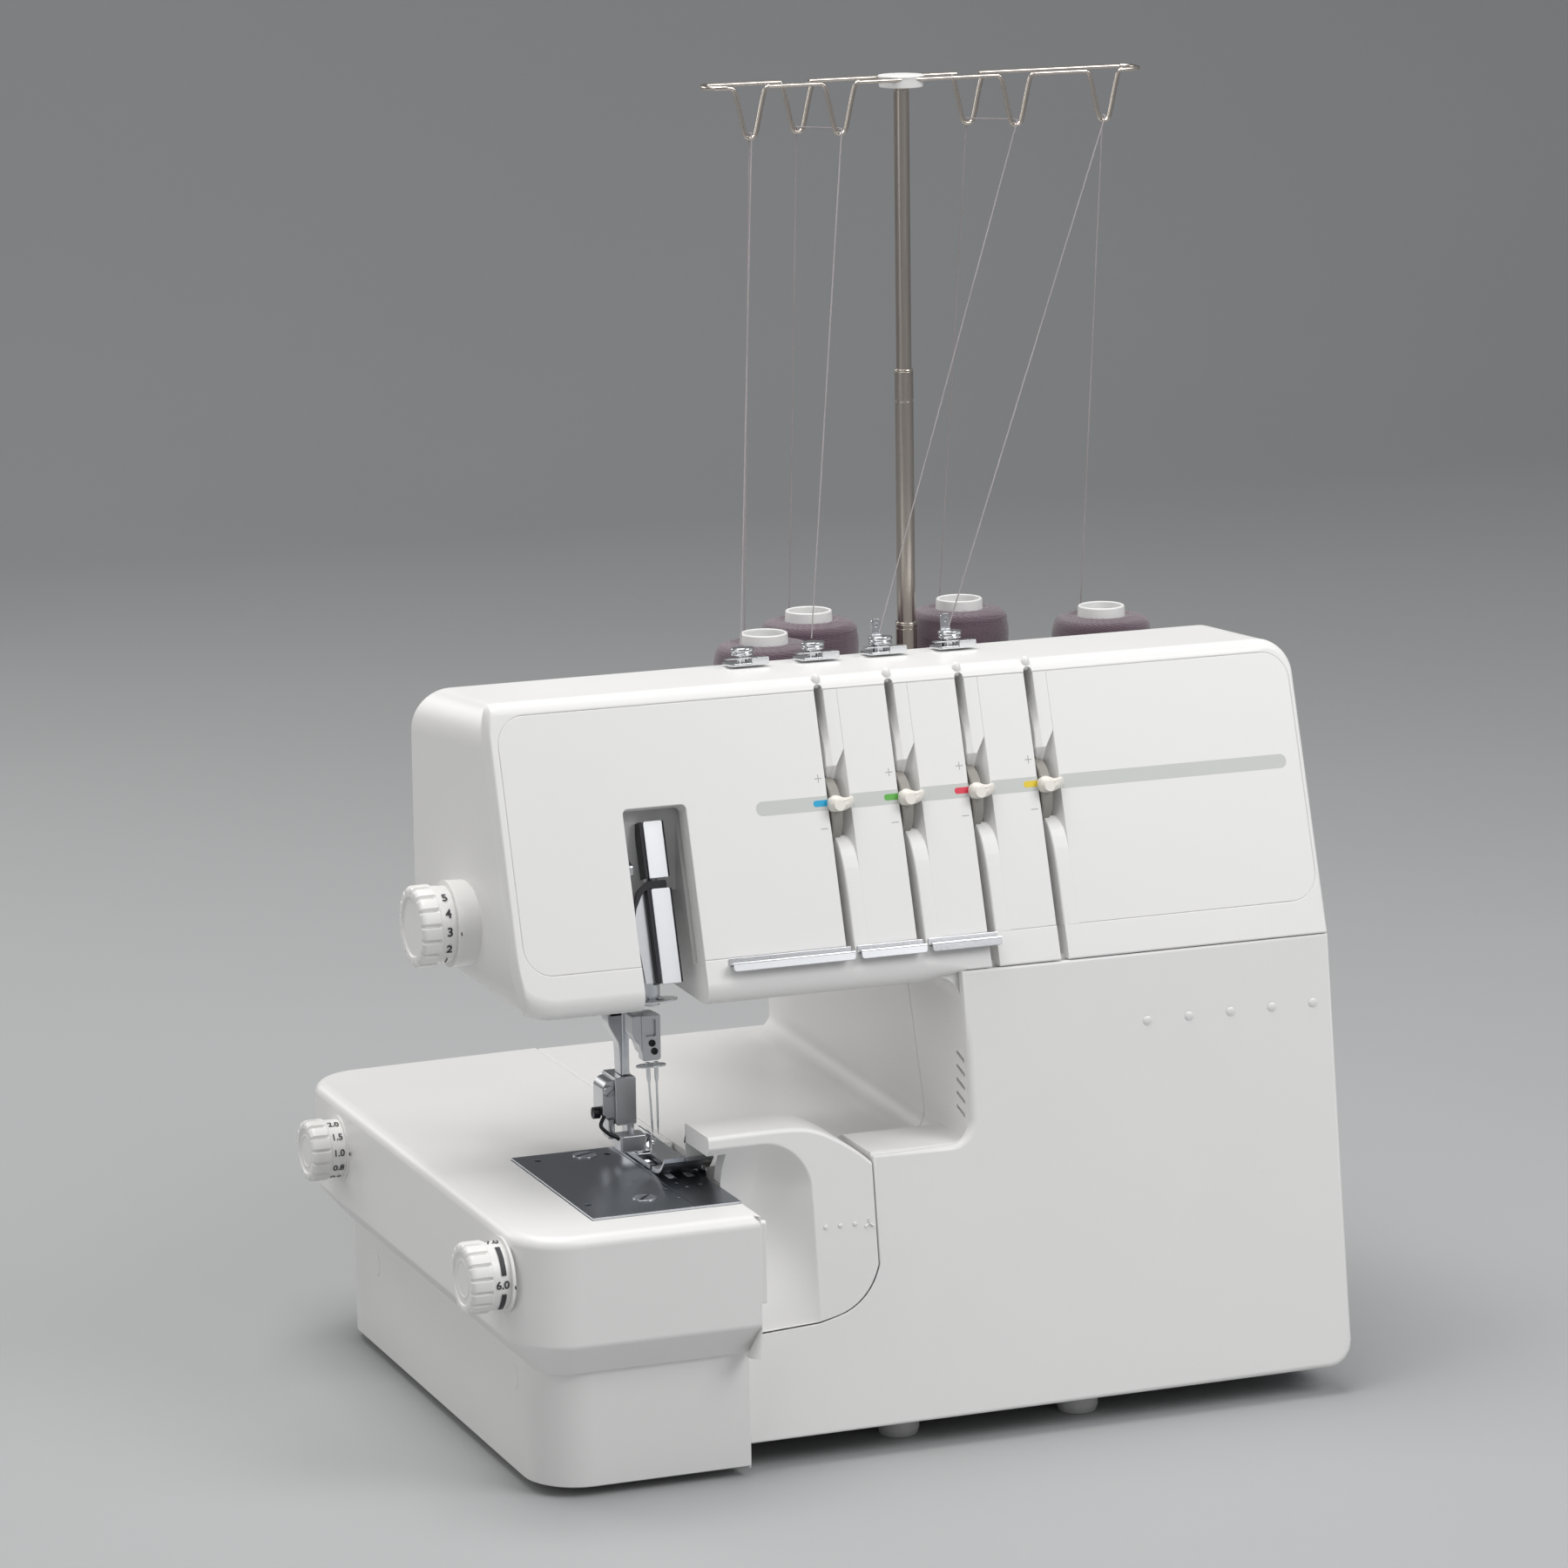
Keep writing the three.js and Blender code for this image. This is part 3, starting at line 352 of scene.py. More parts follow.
def grid(us, vs, point):
    """Open sheet point(u, v) over two lists of values."""
    geo = Geo()
    rows = [geo.loop([point(u, v) for u in us]) for v in vs]
    for a, b in zip(rows, rows[1:]):
        geo.strip(a, b, closed=False)
    return geo


def steps_between(a, b, count):
    return [a + (b - a) * k / count for k in range(count + 1)]


def ease(t):
    t = max(0, min(1, t))
    return t * t * (3 - 2 * t)


def merge_flat(work):
    """Joins coplanar triangles into larger faces, so that none is too thin to shade."""
    if len(work.faces) < 9000:
        bmesh.ops.dissolve_limit(work, angle_limit=math.radians(0.12), verts=work.verts,
                                 edges=work.edges,
                                 delimit={"MATERIAL"})


def piece(name, body, slot, *parts, replaces=(), sharp=38, weld=0.0005):
    """One object from (geometry, material) pairs, riding on a body."""
    mesh = bpy.data.meshes.new(name)
    verts, faces, marks, materials = [], [], [], []
    for geo, paint in parts:
        if paint.name not in [m.name for m in materials]:
            materials.append(paint)
        mark = [m.name for m in materials].index(paint.name)
        faces += [[i + len(verts) for i in face] for face in geo.faces]
        verts += [put(*v) for v in geo.verts]
        marks += [mark] * len(geo.faces)
    mesh.from_pydata(verts, [], faces)
    for paint in materials:
        mesh.materials.append(paint)
    mesh.polygons.foreach_set("material_index", marks)
    work = bmesh.new()
    work.from_mesh(mesh)
    bmesh.ops.remove_doubles(work, verts=work.verts, dist=weld * MM)
    bmesh.ops.recalc_face_normals(work, faces=work.faces)
    merge_flat(work)
    work.to_mesh(mesh)
    work.free()
    mesh.polygons.foreach_set("use_smooth", [True] * len(mesh.polygons))
    mesh.set_sharp_from_angle(angle=math.radians(sharp))
    thing = bpy.data.objects.new(name, mesh)
    bpy.context.scene.collection.objects.link(thing)
    shade = thing.modifiers.new("face weighted normals", "WEIGHTED_NORMAL")
    shade.keep_sharp = True
    shade.weight = 80
    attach(thing, body)
    if replaces:
        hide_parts(*replaces)
    return thing


def carve(thing, *cutters):
    """Cuts closed geometries out of a piece."""
    for geo in cutters:
        mesh = bpy.data.meshes.new("cutter")
        mesh.from_pydata([put(*v) for v in geo.verts], [], geo.faces)
        work = bmesh.new()
        work.from_mesh(mesh)
        bmesh.ops.recalc_face_normals(work, faces=work.faces)
        work.to_mesh(mesh)
        work.free()
        tool = bpy.data.objects.new("cutter", mesh)
        bpy.context.scene.collection.objects.link(tool)
        change = thing.modifiers.new("carve", "BOOLEAN")
        change.operation = "DIFFERENCE"
        change.solver = "EXACT"
        change.object = tool
        thing.modifiers.move(len(thing.modifiers) - 1, 0)
        shade = thing.modifiers[-1]
        shade.show_viewport = False
        bpy.context.view_layer.update()
        seen = thing.evaluated_get(bpy.context.evaluated_depsgraph_get())
        result = bpy.data.meshes.new_from_object(seen)
        shade.show_viewport = True
        thing.modifiers.remove(change)
        old = thing.data
        thing.data = result
        bpy.data.meshes.remove(old)
        bpy.data.objects.remove(tool)
        bpy.data.meshes.remove(mesh)
    data = thing.data
    work = bmesh.new()
    work.from_mesh(data)
    bmesh.ops.remove_doubles(work, verts=work.verts, dist=0.002 * MM)
    merge_flat(work)
    work.to_mesh(data)
    work.free()
    data.polygons.foreach_set("use_smooth", [True] * len(data.polygons))
    data.set_sharp_from_angle(angle=math.radians(38))
    return thing


# ---- materials ----------------------------------------------------------------------------------
def finish_of(name, color, rough, metal=0.0, grain=900, bump=0.03, tint=0.02, vary=0.04,
              stretch=(1, 1, 1), sheen=0.0, patch=30):
    """Principled material whose colour, gloss and relief vary by noise in the frame's metres."""
    paint = bpy.data.materials.new(name)
    paint.use_nodes = True
    nodes, links = paint.node_tree.nodes, paint.node_tree.links
    shader = nodes["Principled BSDF"]
    shader.inputs["Metallic"].default_value = metal
    shader.inputs["Sheen Weight"].default_value = sheen
    where = nodes.new("ShaderNodeTexCoord")
    scaled = nodes.new("ShaderNodeMapping")
    scaled.inputs["Scale"].default_value = stretch
    links.new(where.outputs["Object"], scaled.inputs["Vector"])

    def noise(scale, detail):
        node = nodes.new("ShaderNodeTexNoise")
        node.inputs["Scale"].default_value = scale
        node.inputs["Detail"].default_value = detail
        links.new(scaled.outputs["Vector"], node.inputs["Vector"])
        return node.outputs["Fac"]

    broad, fine = noise(patch, 3), noise(grain, 2)
    ramp = nodes.new("ShaderNodeValToRGB")
    ramp.color_ramp.elements[0].position = 0.3
    ramp.color_ramp.elements[1].position = 0.7
    ramp.color_ramp.elements[0].color = (*[c * (1 - tint) for c in color], 1)
    ramp.color_ramp.elements[1].color = (*[min(1, c * (1 + tint)) for c in color], 1)
    links.new(broad, ramp.inputs["Fac"])
    links.new(ramp.outputs["Color"], shader.inputs["Base Color"])
    gloss = nodes.new("ShaderNodeMapRange")
    gloss.inputs["To Min"].default_value = max(0.02, rough - vary)
    gloss.inputs["To Max"].default_value = rough + vary
    links.new(fine if metal else broad, gloss.inputs["Value"])
    links.new(gloss.outputs["Result"], shader.inputs["Roughness"])
    relief = nodes.new("ShaderNodeBump")
    relief.inputs["Strength"].default_value = 1.0
    relief.inputs["Distance"].default_value = bump * MM
    links.new(fine, relief.inputs["Height"])
    links.new(relief.outputs["Normal"], shader.inputs["Normal"])
    return paint


WHITE = finish_of("white_plastic", (0.80, 0.795, 0.785), 0.36, grain=1500, bump=0.006, tint=0.006,
                  patch=18)
KNOB = finish_of("white_knob", (0.80, 0.795, 0.78), 0.33, grain=1500, bump=0.005, tint=0.006)
CREAM = finish_of("cream_plastic", (0.78, 0.75, 0.69), 0.35, grain=1200, bump=0.006, tint=0.01)
BLACK = finish_of("black_plastic", (0.02, 0.02, 0.022), 0.45, grain=1400, bump=0.012, tint=0.1)
RUBBER = finish_of("foot_rubber", (0.55, 0.55, 0.54), 0.8, grain=1000, bump=0.03, tint=0.05)
BELT = finish_of("belt_rubber", (0.025, 0.025, 0.025), 0.7, grain=900, bump=0.03, tint=0.1)
CHROME = finish_of("chrome", (0.70, 0.71, 0.73), 0.16, 1.0, grain=300, bump=0.0003, tint=0.01,
                   vary=0.01)
STEEL = finish_of("steel", (0.50, 0.51, 0.53), 0.30, 1.0, grain=500, bump=0.0002, tint=0.015,
                  vary=0.01)
SATIN_STEEL = finish_of("satin_steel", (0.64, 0.65, 0.67), 0.34, 1.0, grain=400, bump=0.0003,
                        tint=0.01, vary=0.01)
PLATE_STEEL = finish_of("needle_plate_steel", (0.27, 0.29, 0.32), 0.30, 1.0, grain=120, bump=0.0002,
                        tint=0.015, vary=0.012, stretch=(1, 6, 1), patch=14)
EDGE_STEEL = finish_of("bright_edge_steel", (0.62, 0.64, 0.67), 0.22, 1.0, grain=500, bump=0.0003,
                       tint=0.01, vary=0.01)
DARK_STEEL = finish_of("blackened_steel", (0.025, 0.025, 0.03), 0.32, 0.6, grain=800, bump=0.006,
                       tint=0.2)
NICKEL = finish_of("satin_nickel", (0.56, 0.51, 0.46), 0.24, 1.0, grain=45, bump=0.002, tint=0.05,
                   vary=0.05, stretch=(40, 40, 1))
CAST = finish_of("cast_metal", (0.42, 0.42, 0.43), 0.5, 0.9, grain=600, bump=0.05, tint=0.1)
INK = finish_of("dial_ink", (0.03, 0.03, 0.035), 0.5, grain=1200, bump=0.002, tint=0.1)
GREY_INK = finish_of("grey_ink", (0.42, 0.43, 0.43), 0.45, grain=1200, bump=0.002, tint=0.02)
BAND = finish_of("grey_band", (0.56, 0.58, 0.56), 0.42, grain=1400, bump=0.004, tint=0.01)
TABS = [finish_of(name, color, 0.45, grain=1400, bump=0.003, tint=0.03) for name, color in (
    ("tab_cyan", (0.0, 0.36, 0.62)), ("tab_green", (0.10, 0.42, 0.05)),
    ("tab_red", (0.72, 0.03, 0.07)), ("tab_yellow", (0.78, 0.58, 0.02)))]
CORE = finish_of("spool_core", (0.78, 0.78, 0.77), 0.4, grain=1200, bump=0.004, tint=0.01)


def winding_finish():
    """Cross-wound spun thread: fine bands that climb both ways, with fuzz."""
    paint = finish_of("wound_thread", (0.105, 0.066, 0.088), 0.88, grain=900, bump=0.12, tint=0.22,
                      sheen=0.5)
    nodes, links = paint.node_tree.nodes, paint.node_tree.links
    where = nodes["Texture Coordinate"]
    heights = []
    for lean in (0.35, -0.3):
        turn = nodes.new("ShaderNodeMapping")
        turn.inputs["Rotation"].default_value = (lean, lean * 0.6, 0)
        wave = nodes.new("ShaderNodeTexWave")
        wave.bands_direction = "Z"
        wave.inputs["Scale"].default_value = 420
        wave.inputs["Distortion"].default_value = 1.5
        wave.inputs["Detail"].default_value = 2
        links.new(where.outputs["Object"], turn.inputs["Vector"])
        links.new(turn.outputs["Vector"], wave.inputs["Vector"])
        heights.append(wave.outputs["Fac"])
    both = nodes.new("ShaderNodeMath")
    both.operation = "MAXIMUM"
    links.new(heights[0], both.inputs[0])
    links.new(heights[1], both.inputs[1])
    first = nodes["Bump"]
    second = nodes.new("ShaderNodeBump")
    second.inputs["Distance"].default_value = 0.25 * MM
    second.inputs["Strength"].default_value = 0.8
    links.new(both.outputs[0], second.inputs["Height"])
    links.new(first.outputs["Normal"], second.inputs["Normal"])
    links.new(second.outputs["Normal"], nodes["Principled BSDF"].inputs["Normal"])
    return paint


WOUND = winding_finish()
STRAND = finish_of("thread_strand", (0.30, 0.27, 0.28), 0.8, grain=1500, bump=0.08, tint=0.15,
                   sheen=0.4)


# ---- camera, light, floor -----------------------------------------------------------------------
def camera():
    """The main view: 21 degrees to the left of the front, 11.6 degrees above."""
    azimuth, elevation, roll = math.radians(21.002), math.radians(11.619), math.radians(-0.794)
    distance, target = 2341.4, Vector((48.85, 80, 244.14))
    ahead = Vector((math.sin(azimuth) * math.cos(elevation),
                    math.cos(azimuth) * math.cos(elevation),
                    -math.sin(elevation)))
    right = Vector((math.cos(azimuth), -math.sin(azimuth), 0))
    up = right.cross(ahead)
    axis_x = right * math.cos(roll) + up * math.sin(roll)
    axis_y = up * math.cos(roll) - right * math.sin(roll)
    turn = Matrix((axis_x, axis_y, -ahead)).transposed()
    data = bpy.data.cameras.new("camera")
    data.lens, data.sensor_width = 141.19, 36
    data.clip_end = 50
    thing = bpy.data.objects.new("camera", data)
    thing.matrix_world = Matrix.Translation(put(*(target - ahead * distance))) @ turn.to_4x4()
    bpy.context.scene.collection.objects.link(thing)
    bpy.context.scene.camera = thing


def softbox(name, spot, aim, width, height, watts, color=(1, 1, 1)):
    data = bpy.data.lights.new(name, "AREA")
    data.shape, data.size, data.size_y = "RECTANGLE", width, height
    data.energy, data.color = watts, color
    thing = bpy.data.objects.new(name, data)
    thing.location = spot
    thing.rotation_euler = (Vector(aim) - Vector(spot)).to_track_quat("-Z", "Y").to_euler()
    bpy.context.scene.collection.objects.link(thing)


def studio():
    softbox("key_softbox", (0.85, -1.15, 1.25), (0.05, 0, 0.15), 0.9, 0.9, 14)
    softbox("top_softbox", (-0.3, 0.1, 1.9), (0, 0, 0.1), 1.5, 1.2, 26, (1, 0.99, 0.975))
    softbox("left_softbox", (-1.8, -0.7, 0.9), (0, 0, 0.15), 0.8, 1.3, 3.5, (1, 0.985, 0.96))
    softbox("rear_softbox", (-0.9, 1.4, 0.8), (0, 0.1, 0.12), 0.9, 0.6, 5, (1, 0.985, 0.96))
    world = bpy.data.worlds.new("studio")
    world.use_nodes = True
    world.node_tree.nodes["Background"].inputs["Color"].default_value = (0.82, 0.83, 0.85, 1)
    world.node_tree.nodes["Background"].inputs["Strength"].default_value = 0.40
    bpy.context.scene.world = world
    bpy.context.scene.view_settings.view_transform = "Standard"
    floor_paint = finish_of("floor_paper", (0.40, 0.405, 0.41), 0.85, grain=300, bump=0.03,
                            tint=0.01, patch=3)
    mesh = bpy.data.meshes.new("floor")
    wide, deep, high, bend, steps = 6.0, 3.0, 3.0, 1.0, 16
    bends = [math.pi / 2 * k / steps for k in range(steps + 1)]
    curve = [(-4.0, 0.0)]
    curve += [(deep - bend + bend * math.sin(a), bend - bend * math.cos(a)) for a in bends]
    curve += [(deep, high)]
    mesh.from_pydata([(x, y, z) for y, z in curve for x in (-wide, wide)], [],
                     [(2 * k, 2 * k + 1, 2 * k + 3, 2 * k + 2) for k in range(len(curve) - 1)])
    mesh.materials.append(floor_paint)
    mesh.polygons.foreach_set("use_smooth", [True] * len(mesh.polygons))
    floor = bpy.data.objects.new("floor", mesh)
    bpy.context.scene.collection.objects.link(floor)


# ---- the arm and its thread panel ---------------------------------------------------------------
SEAM = 0.5           # half width of the parting lines
POCKET = 13


def arm_place(x, z, depth):
    """Depth runs from the leaning face (0) to the upright back of the arm (1000 and more); the
    arm's left end is drawn in at the front, so its left face flares out towards the back."""
    if depth < 500:
        return on_upper(x if x > PANEL_X[0] - 1 else PANEL_X[0] - 1 + (x - PANEL_X[0] + 1) * 0.22,
                        z, depth)
    fall = (ARM_TOP - ARM_TOP_BACK) * (z - ARM_BOTTOM) / (ARM_TOP - ARM_BOTTOM)
    return Vector((x, ARM_BACK - (2000 - depth), z - fall))


def arm():
    turns = [math.pi / 2 * k / 6 for k in range(7)]
    rings = [(1 - math.sin(a), 1 - math.cos(a), 0) for a in turns]
    back_r = 0.7
    rings += [(back_r * (1 - math.cos(a)), -back_r * (1 - math.sin(a)), 2000) for a in turns]
    shell = [(LEFT, ARM_BOTTOM, 26, (8, 6.5)), (84, ARM_BOTTOM, 6, 6.5), (101, SEAM_Z, 6, (1, 0.6)),
             (RIGHT, SEAM_Z, 0.6, (0.6, 1.2)), (RIGHT, ARM_TOP, 13, (1.2, 5.4)), (LEFT, ARM_TOP, 16,
             (5.4, 8))]
    pocket = [(PANEL_X[0], PANEL_Z[0], 11), (PANEL_X[1], PANEL_Z[0], 11),
              (PANEL_X[1], PANEL_Z[1], 11), (PANEL_X[0], PANEL_Z[1], 11)]
    geo = stack(shell, rings, arm_place, holes=[(pocket, SEAM, POCKET)])
    thing = piece("arm_shell", "root", "white_plastic", (geo, WHITE), replaces=["rear_housing"])
    recess = slab(edged(0.1, (-20, 150), (92, 150), (92, 210), (60, 212), (60, RECESS_TOP),
                        (-20, RECESS_TOP)), RECESS_X[1] - RECESS_X[0], across_x(RECESS_X[0]))
    lifter = slab(rectangle(105, 181, 130, 206, 3, 0.1), 11, across_x(-41.5))
    grooves = [slot_groove(x) for x in SLOTS_X]
    carve(thing, recess, lifter, *grooves)


def slot_groove(x):
    """Room of a tension slot where it runs out through the arm's top edge and lower border."""
    low = ARM_BOTTOM - 6 if x > 100 else PANEL_Z[0] - 2
    return slab(rectangle(x, low, x + 3.4, PANEL_Z[1] + 3.4, 1.6, 0.1), 12,
                on_face(lambda z: upper_y(z) - 4, UPPER_LEAN))


def panel_segments():
    """Five strips of the front panel, with rounded outer corners, and the recess in the first."""
    thick = 9
    edges = [PANEL_X[0]] + [x for s in SLOTS_X for x in (s, s + SLOT_WIDE)] + [PANEL_X[1]]
    low, high = PANEL_Z
    for i in range(5):
        x0, x1 = edges[2 * i], edges[2 * i + 1]
        soft = 0.35
        left_r, right_r = (10.6 if i == 0 else 0), (10.6 if i == 4 else 0)
        left_e = soft if i == 0 else 0
        outline = [(x0, low, left_r, left_e or 0.01), (x1, low, right_r, soft),
                   (x1, high, right_r, soft), (x0, high, left_r, left_e or 0.01)]
        if i == 0:
            outline = [(x0, low, left_r, soft), (RECESS_X[0], low, 0, soft), (RECESS_X[0],
                       RECESS_TOP, 2, soft),
                       (RECESS_X[1], RECESS_TOP, 2, soft), (RECESS_X[1], low, 0, soft),
                       *outline[1:]]
        geo = slab(outline, thick, on_upper)
        piece(f"panel_strip_{i + 1}", "root", "white_plastic", (geo, WHITE),
              replaces=["front_panel"] if i == 0 else ())


# Beside each slot: height, how far right of the slot's line the surface's left edge is seen from
# the front left, and how deep it lies there. Below the window it is a ramp, above it a block.
RAMP = [(PANEL_Z[0] - 0.2, 3.4, 0.0), (208, 3.4, 0.0), (214, 3.3, 0.02), (219, 3.05, 0.1),
        (223, 2.65, 0.45),
        (226, 2.2, 1.0), (228.5, 1.6, 2.0), (230.3, 1.0, 3.2), (231.2, 0.8, 4.6)]
BLOCK = [(251.7, 0.7, 5.0), (254, 0.8, 2.2), (255.8, 0.95, 0.7), (258, 1.15, 0.75), (261.7, 1.35,
         1.0),
         (265, 1.3, 2.0), (269, 1.0, 3.6), (272, 0.55, 5.4), (275, 0.1, 7.4), (278, 0.02, 8.0),
         (PANEL_Z[1] + 0.1, 0.02, 8.0)]
WALL_U = (5.3, 9.1)       # the window's slanted right wall: its foot and its top
WALL_DEEP = 7.0
SIGHT = 0.38              # sideways shift per millimetre of depth, as seen from the front left


def between(table, z):
    """Values of a height table at z, eased so that the outline has no corners."""
    k = max(i for i in range(len(table) - 1) if table[i][0] <= z + 1e-6)
    a, b = table[k], table[k + 1]
    t = min(1, max(0, (z - a[0]) / (b[0] - a[0])))
    return [p + (q - p) * t for p, q in zip(a[1:], b[1:])]


def slot_surfaces():
    """The moulded channel, window, ramp and block of each tension slot, with a black sheet behind them as painted
    shade.
    """
    wide = SLOT_WIDE
    foot, top = WALL_U
    for n, x in enumerate(SLOTS_X, 1):
        def row(z, points, x=x):
            return [on_upper(x + u, z, depth) for u, depth in points]
        ramp = Geo()
        rows = []
        for z in steps_between(RAMP[0][0], RAMP[-1][0], 48):
            seen, deep = between(RAMP, z)
            left = seen + SIGHT * deep
            meet = top - deep * (top - foot) / WALL_DEEP - 0.05
            middle = (left + meet) / 2
            rows.append(ramp.loop(row(z, [(0, 12), (left - 0.12, 12), (left - 0.1, deep + 0.5),
                                          (left + 0.25, deep + 0.06),
                                          (middle, deep), (meet, deep), (top, 0.02), (wide, 0)])))
        for a, b in zip(rows, rows[1:]):
            ramp.strip(a, b, closed=False)
        ramp.faces.append(ramp.loop(row(RAMP[-1][0], [(0.8, 12), (2.5, 4.8), (foot, 4.8),
                                        (foot, 12)])))
        hood = Geo()
        rows = []
        for z in steps_between(BLOCK[0][0], BLOCK[-1][0], 60):
            seen, deep = between(BLOCK, z)
            left = seen + SIGHT * deep
            right = foot if z < 256 else foot + min(1, (z - 256) / 5.7) * (top - 0.15 - foot)
            face = max(0, 255.8 - z) / 4.1 * 4.6
            edge = max(3.45, left + 0.3)
            slope = min(deep, max(face + 0.25, (deep - 1.2) * 0.55)) if z < 276 else deep * 0.97
            behind = (top - right) * WALL_DEEP / (top - foot)
            rows.append(hood.loop(row(z, [(left - 0.1, 12), (left, deep + 0.4), (left + 0.25, deep),
                                          (edge, max(face, slope)),
                                          (edge + 0.2, face + 0.15), (edge + 0.6, face),
                                          (max(right, edge + 0.7), face),
                                          (max(right, edge + 0.7) + 0.02, max(face, behind)),
                                          (top, 0.02), (wide, 0)])))
        for a, b in zip(rows, rows[1:]):
            hood.strip(a, b, closed=False)
        hood.faces.append(hood.loop(row(BLOCK[0][0], [(2.6, 5.0), (foot, 4.6), (foot, 12),
                                        (2.6, 12)])))
        window = Geo()
        rows = [window.loop(row(z, [(foot, 12), (foot, WALL_DEEP), (top, 0.02), (wide, 0)]))
                for z in (RAMP[-1][0], 240, BLOCK[0][0])]
        for a, b in zip(rows, rows[1:]):
            window.strip(a, b, closed=False)
        # Black sheet at the back of the slot: painted shade, so the lens and the window read dark.
        back = Geo()
        back.faces.append(back.loop([on_upper(x + u, z, 12.2) for u, z in (
            (-0.5, PANEL_Z[0]), (wide, PANEL_Z[0]), (wide, PANEL_Z[1]), (-0.5, PANEL_Z[1]))]))
        piece(f"tension_slot_{n}", "root", "white_plastic", (ramp, WHITE), (hood, WHITE),
              (window, WHITE),
              (back, BLACK), sharp=30)


def slot_bumps():
    """Small rounded ends of the slots on the arm's top edge."""
    for n, x in enumerate(SLOTS_X, 1):
        centre = on_upper(x + 1.7, PANEL_Z[1] + 3.6, 1.5)
        rings = [(1.9 * math.sin(a), 1.5 * math.cos(a)) for a in steps_between(0.001, math.pi, 10)]
        geo = lathe([(max(r, 0), h) for r, h in rings], lambda a, b, h, c=centre: c + Vector((a, -h,
                    b * 1.5)), sides=24)
        piece(f"slot_end_{n}", "root", "white_plastic", (geo, WHITE))


def tension_dials():
    """Cream dials: a rim painted in darkened cream as painted shade for the window it sits in, with a pointer lever
    that looks out of each window.
    """
    for n in range(1, 5):
        x0 = SLOTS_X[n - 1]
        z = 241
        centre = on_upper(x0, z, 11)
        rim = lathe(profile((0, 0.6), (13.6, 0.6, 0.6), (13.6, 4.6, 0.6), (0, 4.6)),
                    rightward(centre.x, centre.y, centre.z), sides=72,
                    wave=lambda a, i: 1 - (0.012 if i in (2, 3, 4, 5, 6, 7,
                                           8) and math.sin(36 * a) > 0 else 0))
        out = (on_upper(0, z, 0) - on_upper(0, z, 1))
        up = Vector((0, math.sin(math.atan(UPPER_LEAN)), math.cos(math.atan(UPPER_LEAN))))
        tip = centre + out * 13.4

        outline = [(-0.6, 0), (-0.2, 1.9), (0.9, 3.0), (2.4, 3.3), (4.0, 2.9), (5.6, 2.25),
                   (7.4, 2.2), (8.9, 2.5),
                   (9.7, 2.2), (10.0, 1.2), (9.9, 0.2), (9.2, -0.9), (7.6, -2.0), (5.6, -2.7),
                   (3.6, -3.1), (1.4, -3.1),
                   (0.1, -2.1)]
        curve = [(p.x, p.y) for p in smooth_path([(u, v, 0) for u, v in outline + outline[:1]],
                 3)][:-1]
        body = Geo()
        loops = []
        for shrink, lift in ((0.0, -2.2), (0.0, 0.2), (0.05, 0.8), (0.16, 1.5), (0.36, 2.1),
                             (0.62, 2.5), (0.88, 2.65)):
            loops.append(body.loop([tip + Vector((4.2 + (u - 4.2) * (1 - shrink), 0, 0))
                                    + up * ((v * (1 - shrink)) + 1.0) + out * (lift - 0.12 * u) for u, v in curve]))
        for a, b in zip(loops, loops[1:]):
            body.strip(a, b)
        body.faces += [loops[0], loops[-1]]
        stem = tube([centre + Vector((2.6, 0, 0)) + out * 12.6,
                     centre + Vector((2.6, 0, 0)) + out * 16.4], 2.1, 16)
        # The rim takes the darkened cream below: painted shade inside the window.
        piece(f"tension_dial_{n}_detail", f"tension_{n}", "cream_plastic", (rim, SHADED_DIAL_RIM),
              (body, CREAM), (stem, CREAM),
              replaces=[f"tension_dial_{n}"])


# The dial's cream darkened to about 40 %: painted shade for the rim that sits in the dark window.
SHADED_DIAL_RIM = finish_of("shaded_dial_rim", (0.30, 0.285, 0.26), 0.4, grain=1200, bump=0.006, tint=0.03)


def decal(name, outline, paint, lift=0.04, thick=0.3):
    """Printed mark on the leaning front."""
    geo = slab([(u, v, r, 0.02) for u, v, r in outline], thick, lambda x, z, d: on_upper(x, z,
               d - lift), back=0.02, steps=1)
    return piece(name, "root", "white_plastic", (geo, paint))


def panel_print():
    z0, z1 = BAND_Z
    middle, half = (z0 + z1) / 2, (z1 - z0) / 2 - 0.05
    starts = [24.6] + [x + SLOT_WIDE for x in SLOTS_X]
    ends = SLOTS_X + [244.1]
    for n, (a, b) in enumerate(zip(starts, ends), 1):
        left, right = (half if n == 1 else 0), (half if n == 5 else 0)
        decal(f"grey_band_{n}", [(a, z0, left), (b, z0, right), (b, z1, right), (a, z1, left)],
              BAND)
    for n, (x, paint) in enumerate(zip(SLOTS_X, TABS), 1):
        z = middle
        decal(f"colour_tab_{n}", [(x - 6.0, z - 1.15, 1.1), (x - 0.05, z - 1.15, 0),
                                  (x - 0.05, z + 1.15, 0),
                                  (x - 6.0, z + 1.15, 1.1)], paint, lift=0.07)
        for kind, height in (("plus", 251.8), ("minus", 233.6)):
            cx, arm_half, thin = x - 2.8, 1.45, 0.17
            bar = [(cx - arm_half, height - thin, 0), (cx + arm_half, height - thin, 0),
                   (cx + arm_half, height + thin, 0), (cx - arm_half, height + thin, 0)]
            decal(f"{kind}_mark_{n}", bar, GREY_INK)
            if kind == "plus":
                decal(f"plus_stroke_{n}", [(cx - thin, height - arm_half, 0),
                                           (cx + thin, height - arm_half, 0),
                                           (cx + thin, height + arm_half, 0),
                                           (cx - thin, height + arm_half, 0)],
                      GREY_INK)


# ---- column, rear and bed -----------------------------------------------------------------------
WALL_TOP, WALL_FOOT = 10, 12      # radii where the column's inner wall meets the arm and the bed


def seam_y(z):
    """Leaning parting line on the column's inner wall."""
    return 67.5 + 0.363 * (z - 114.2)


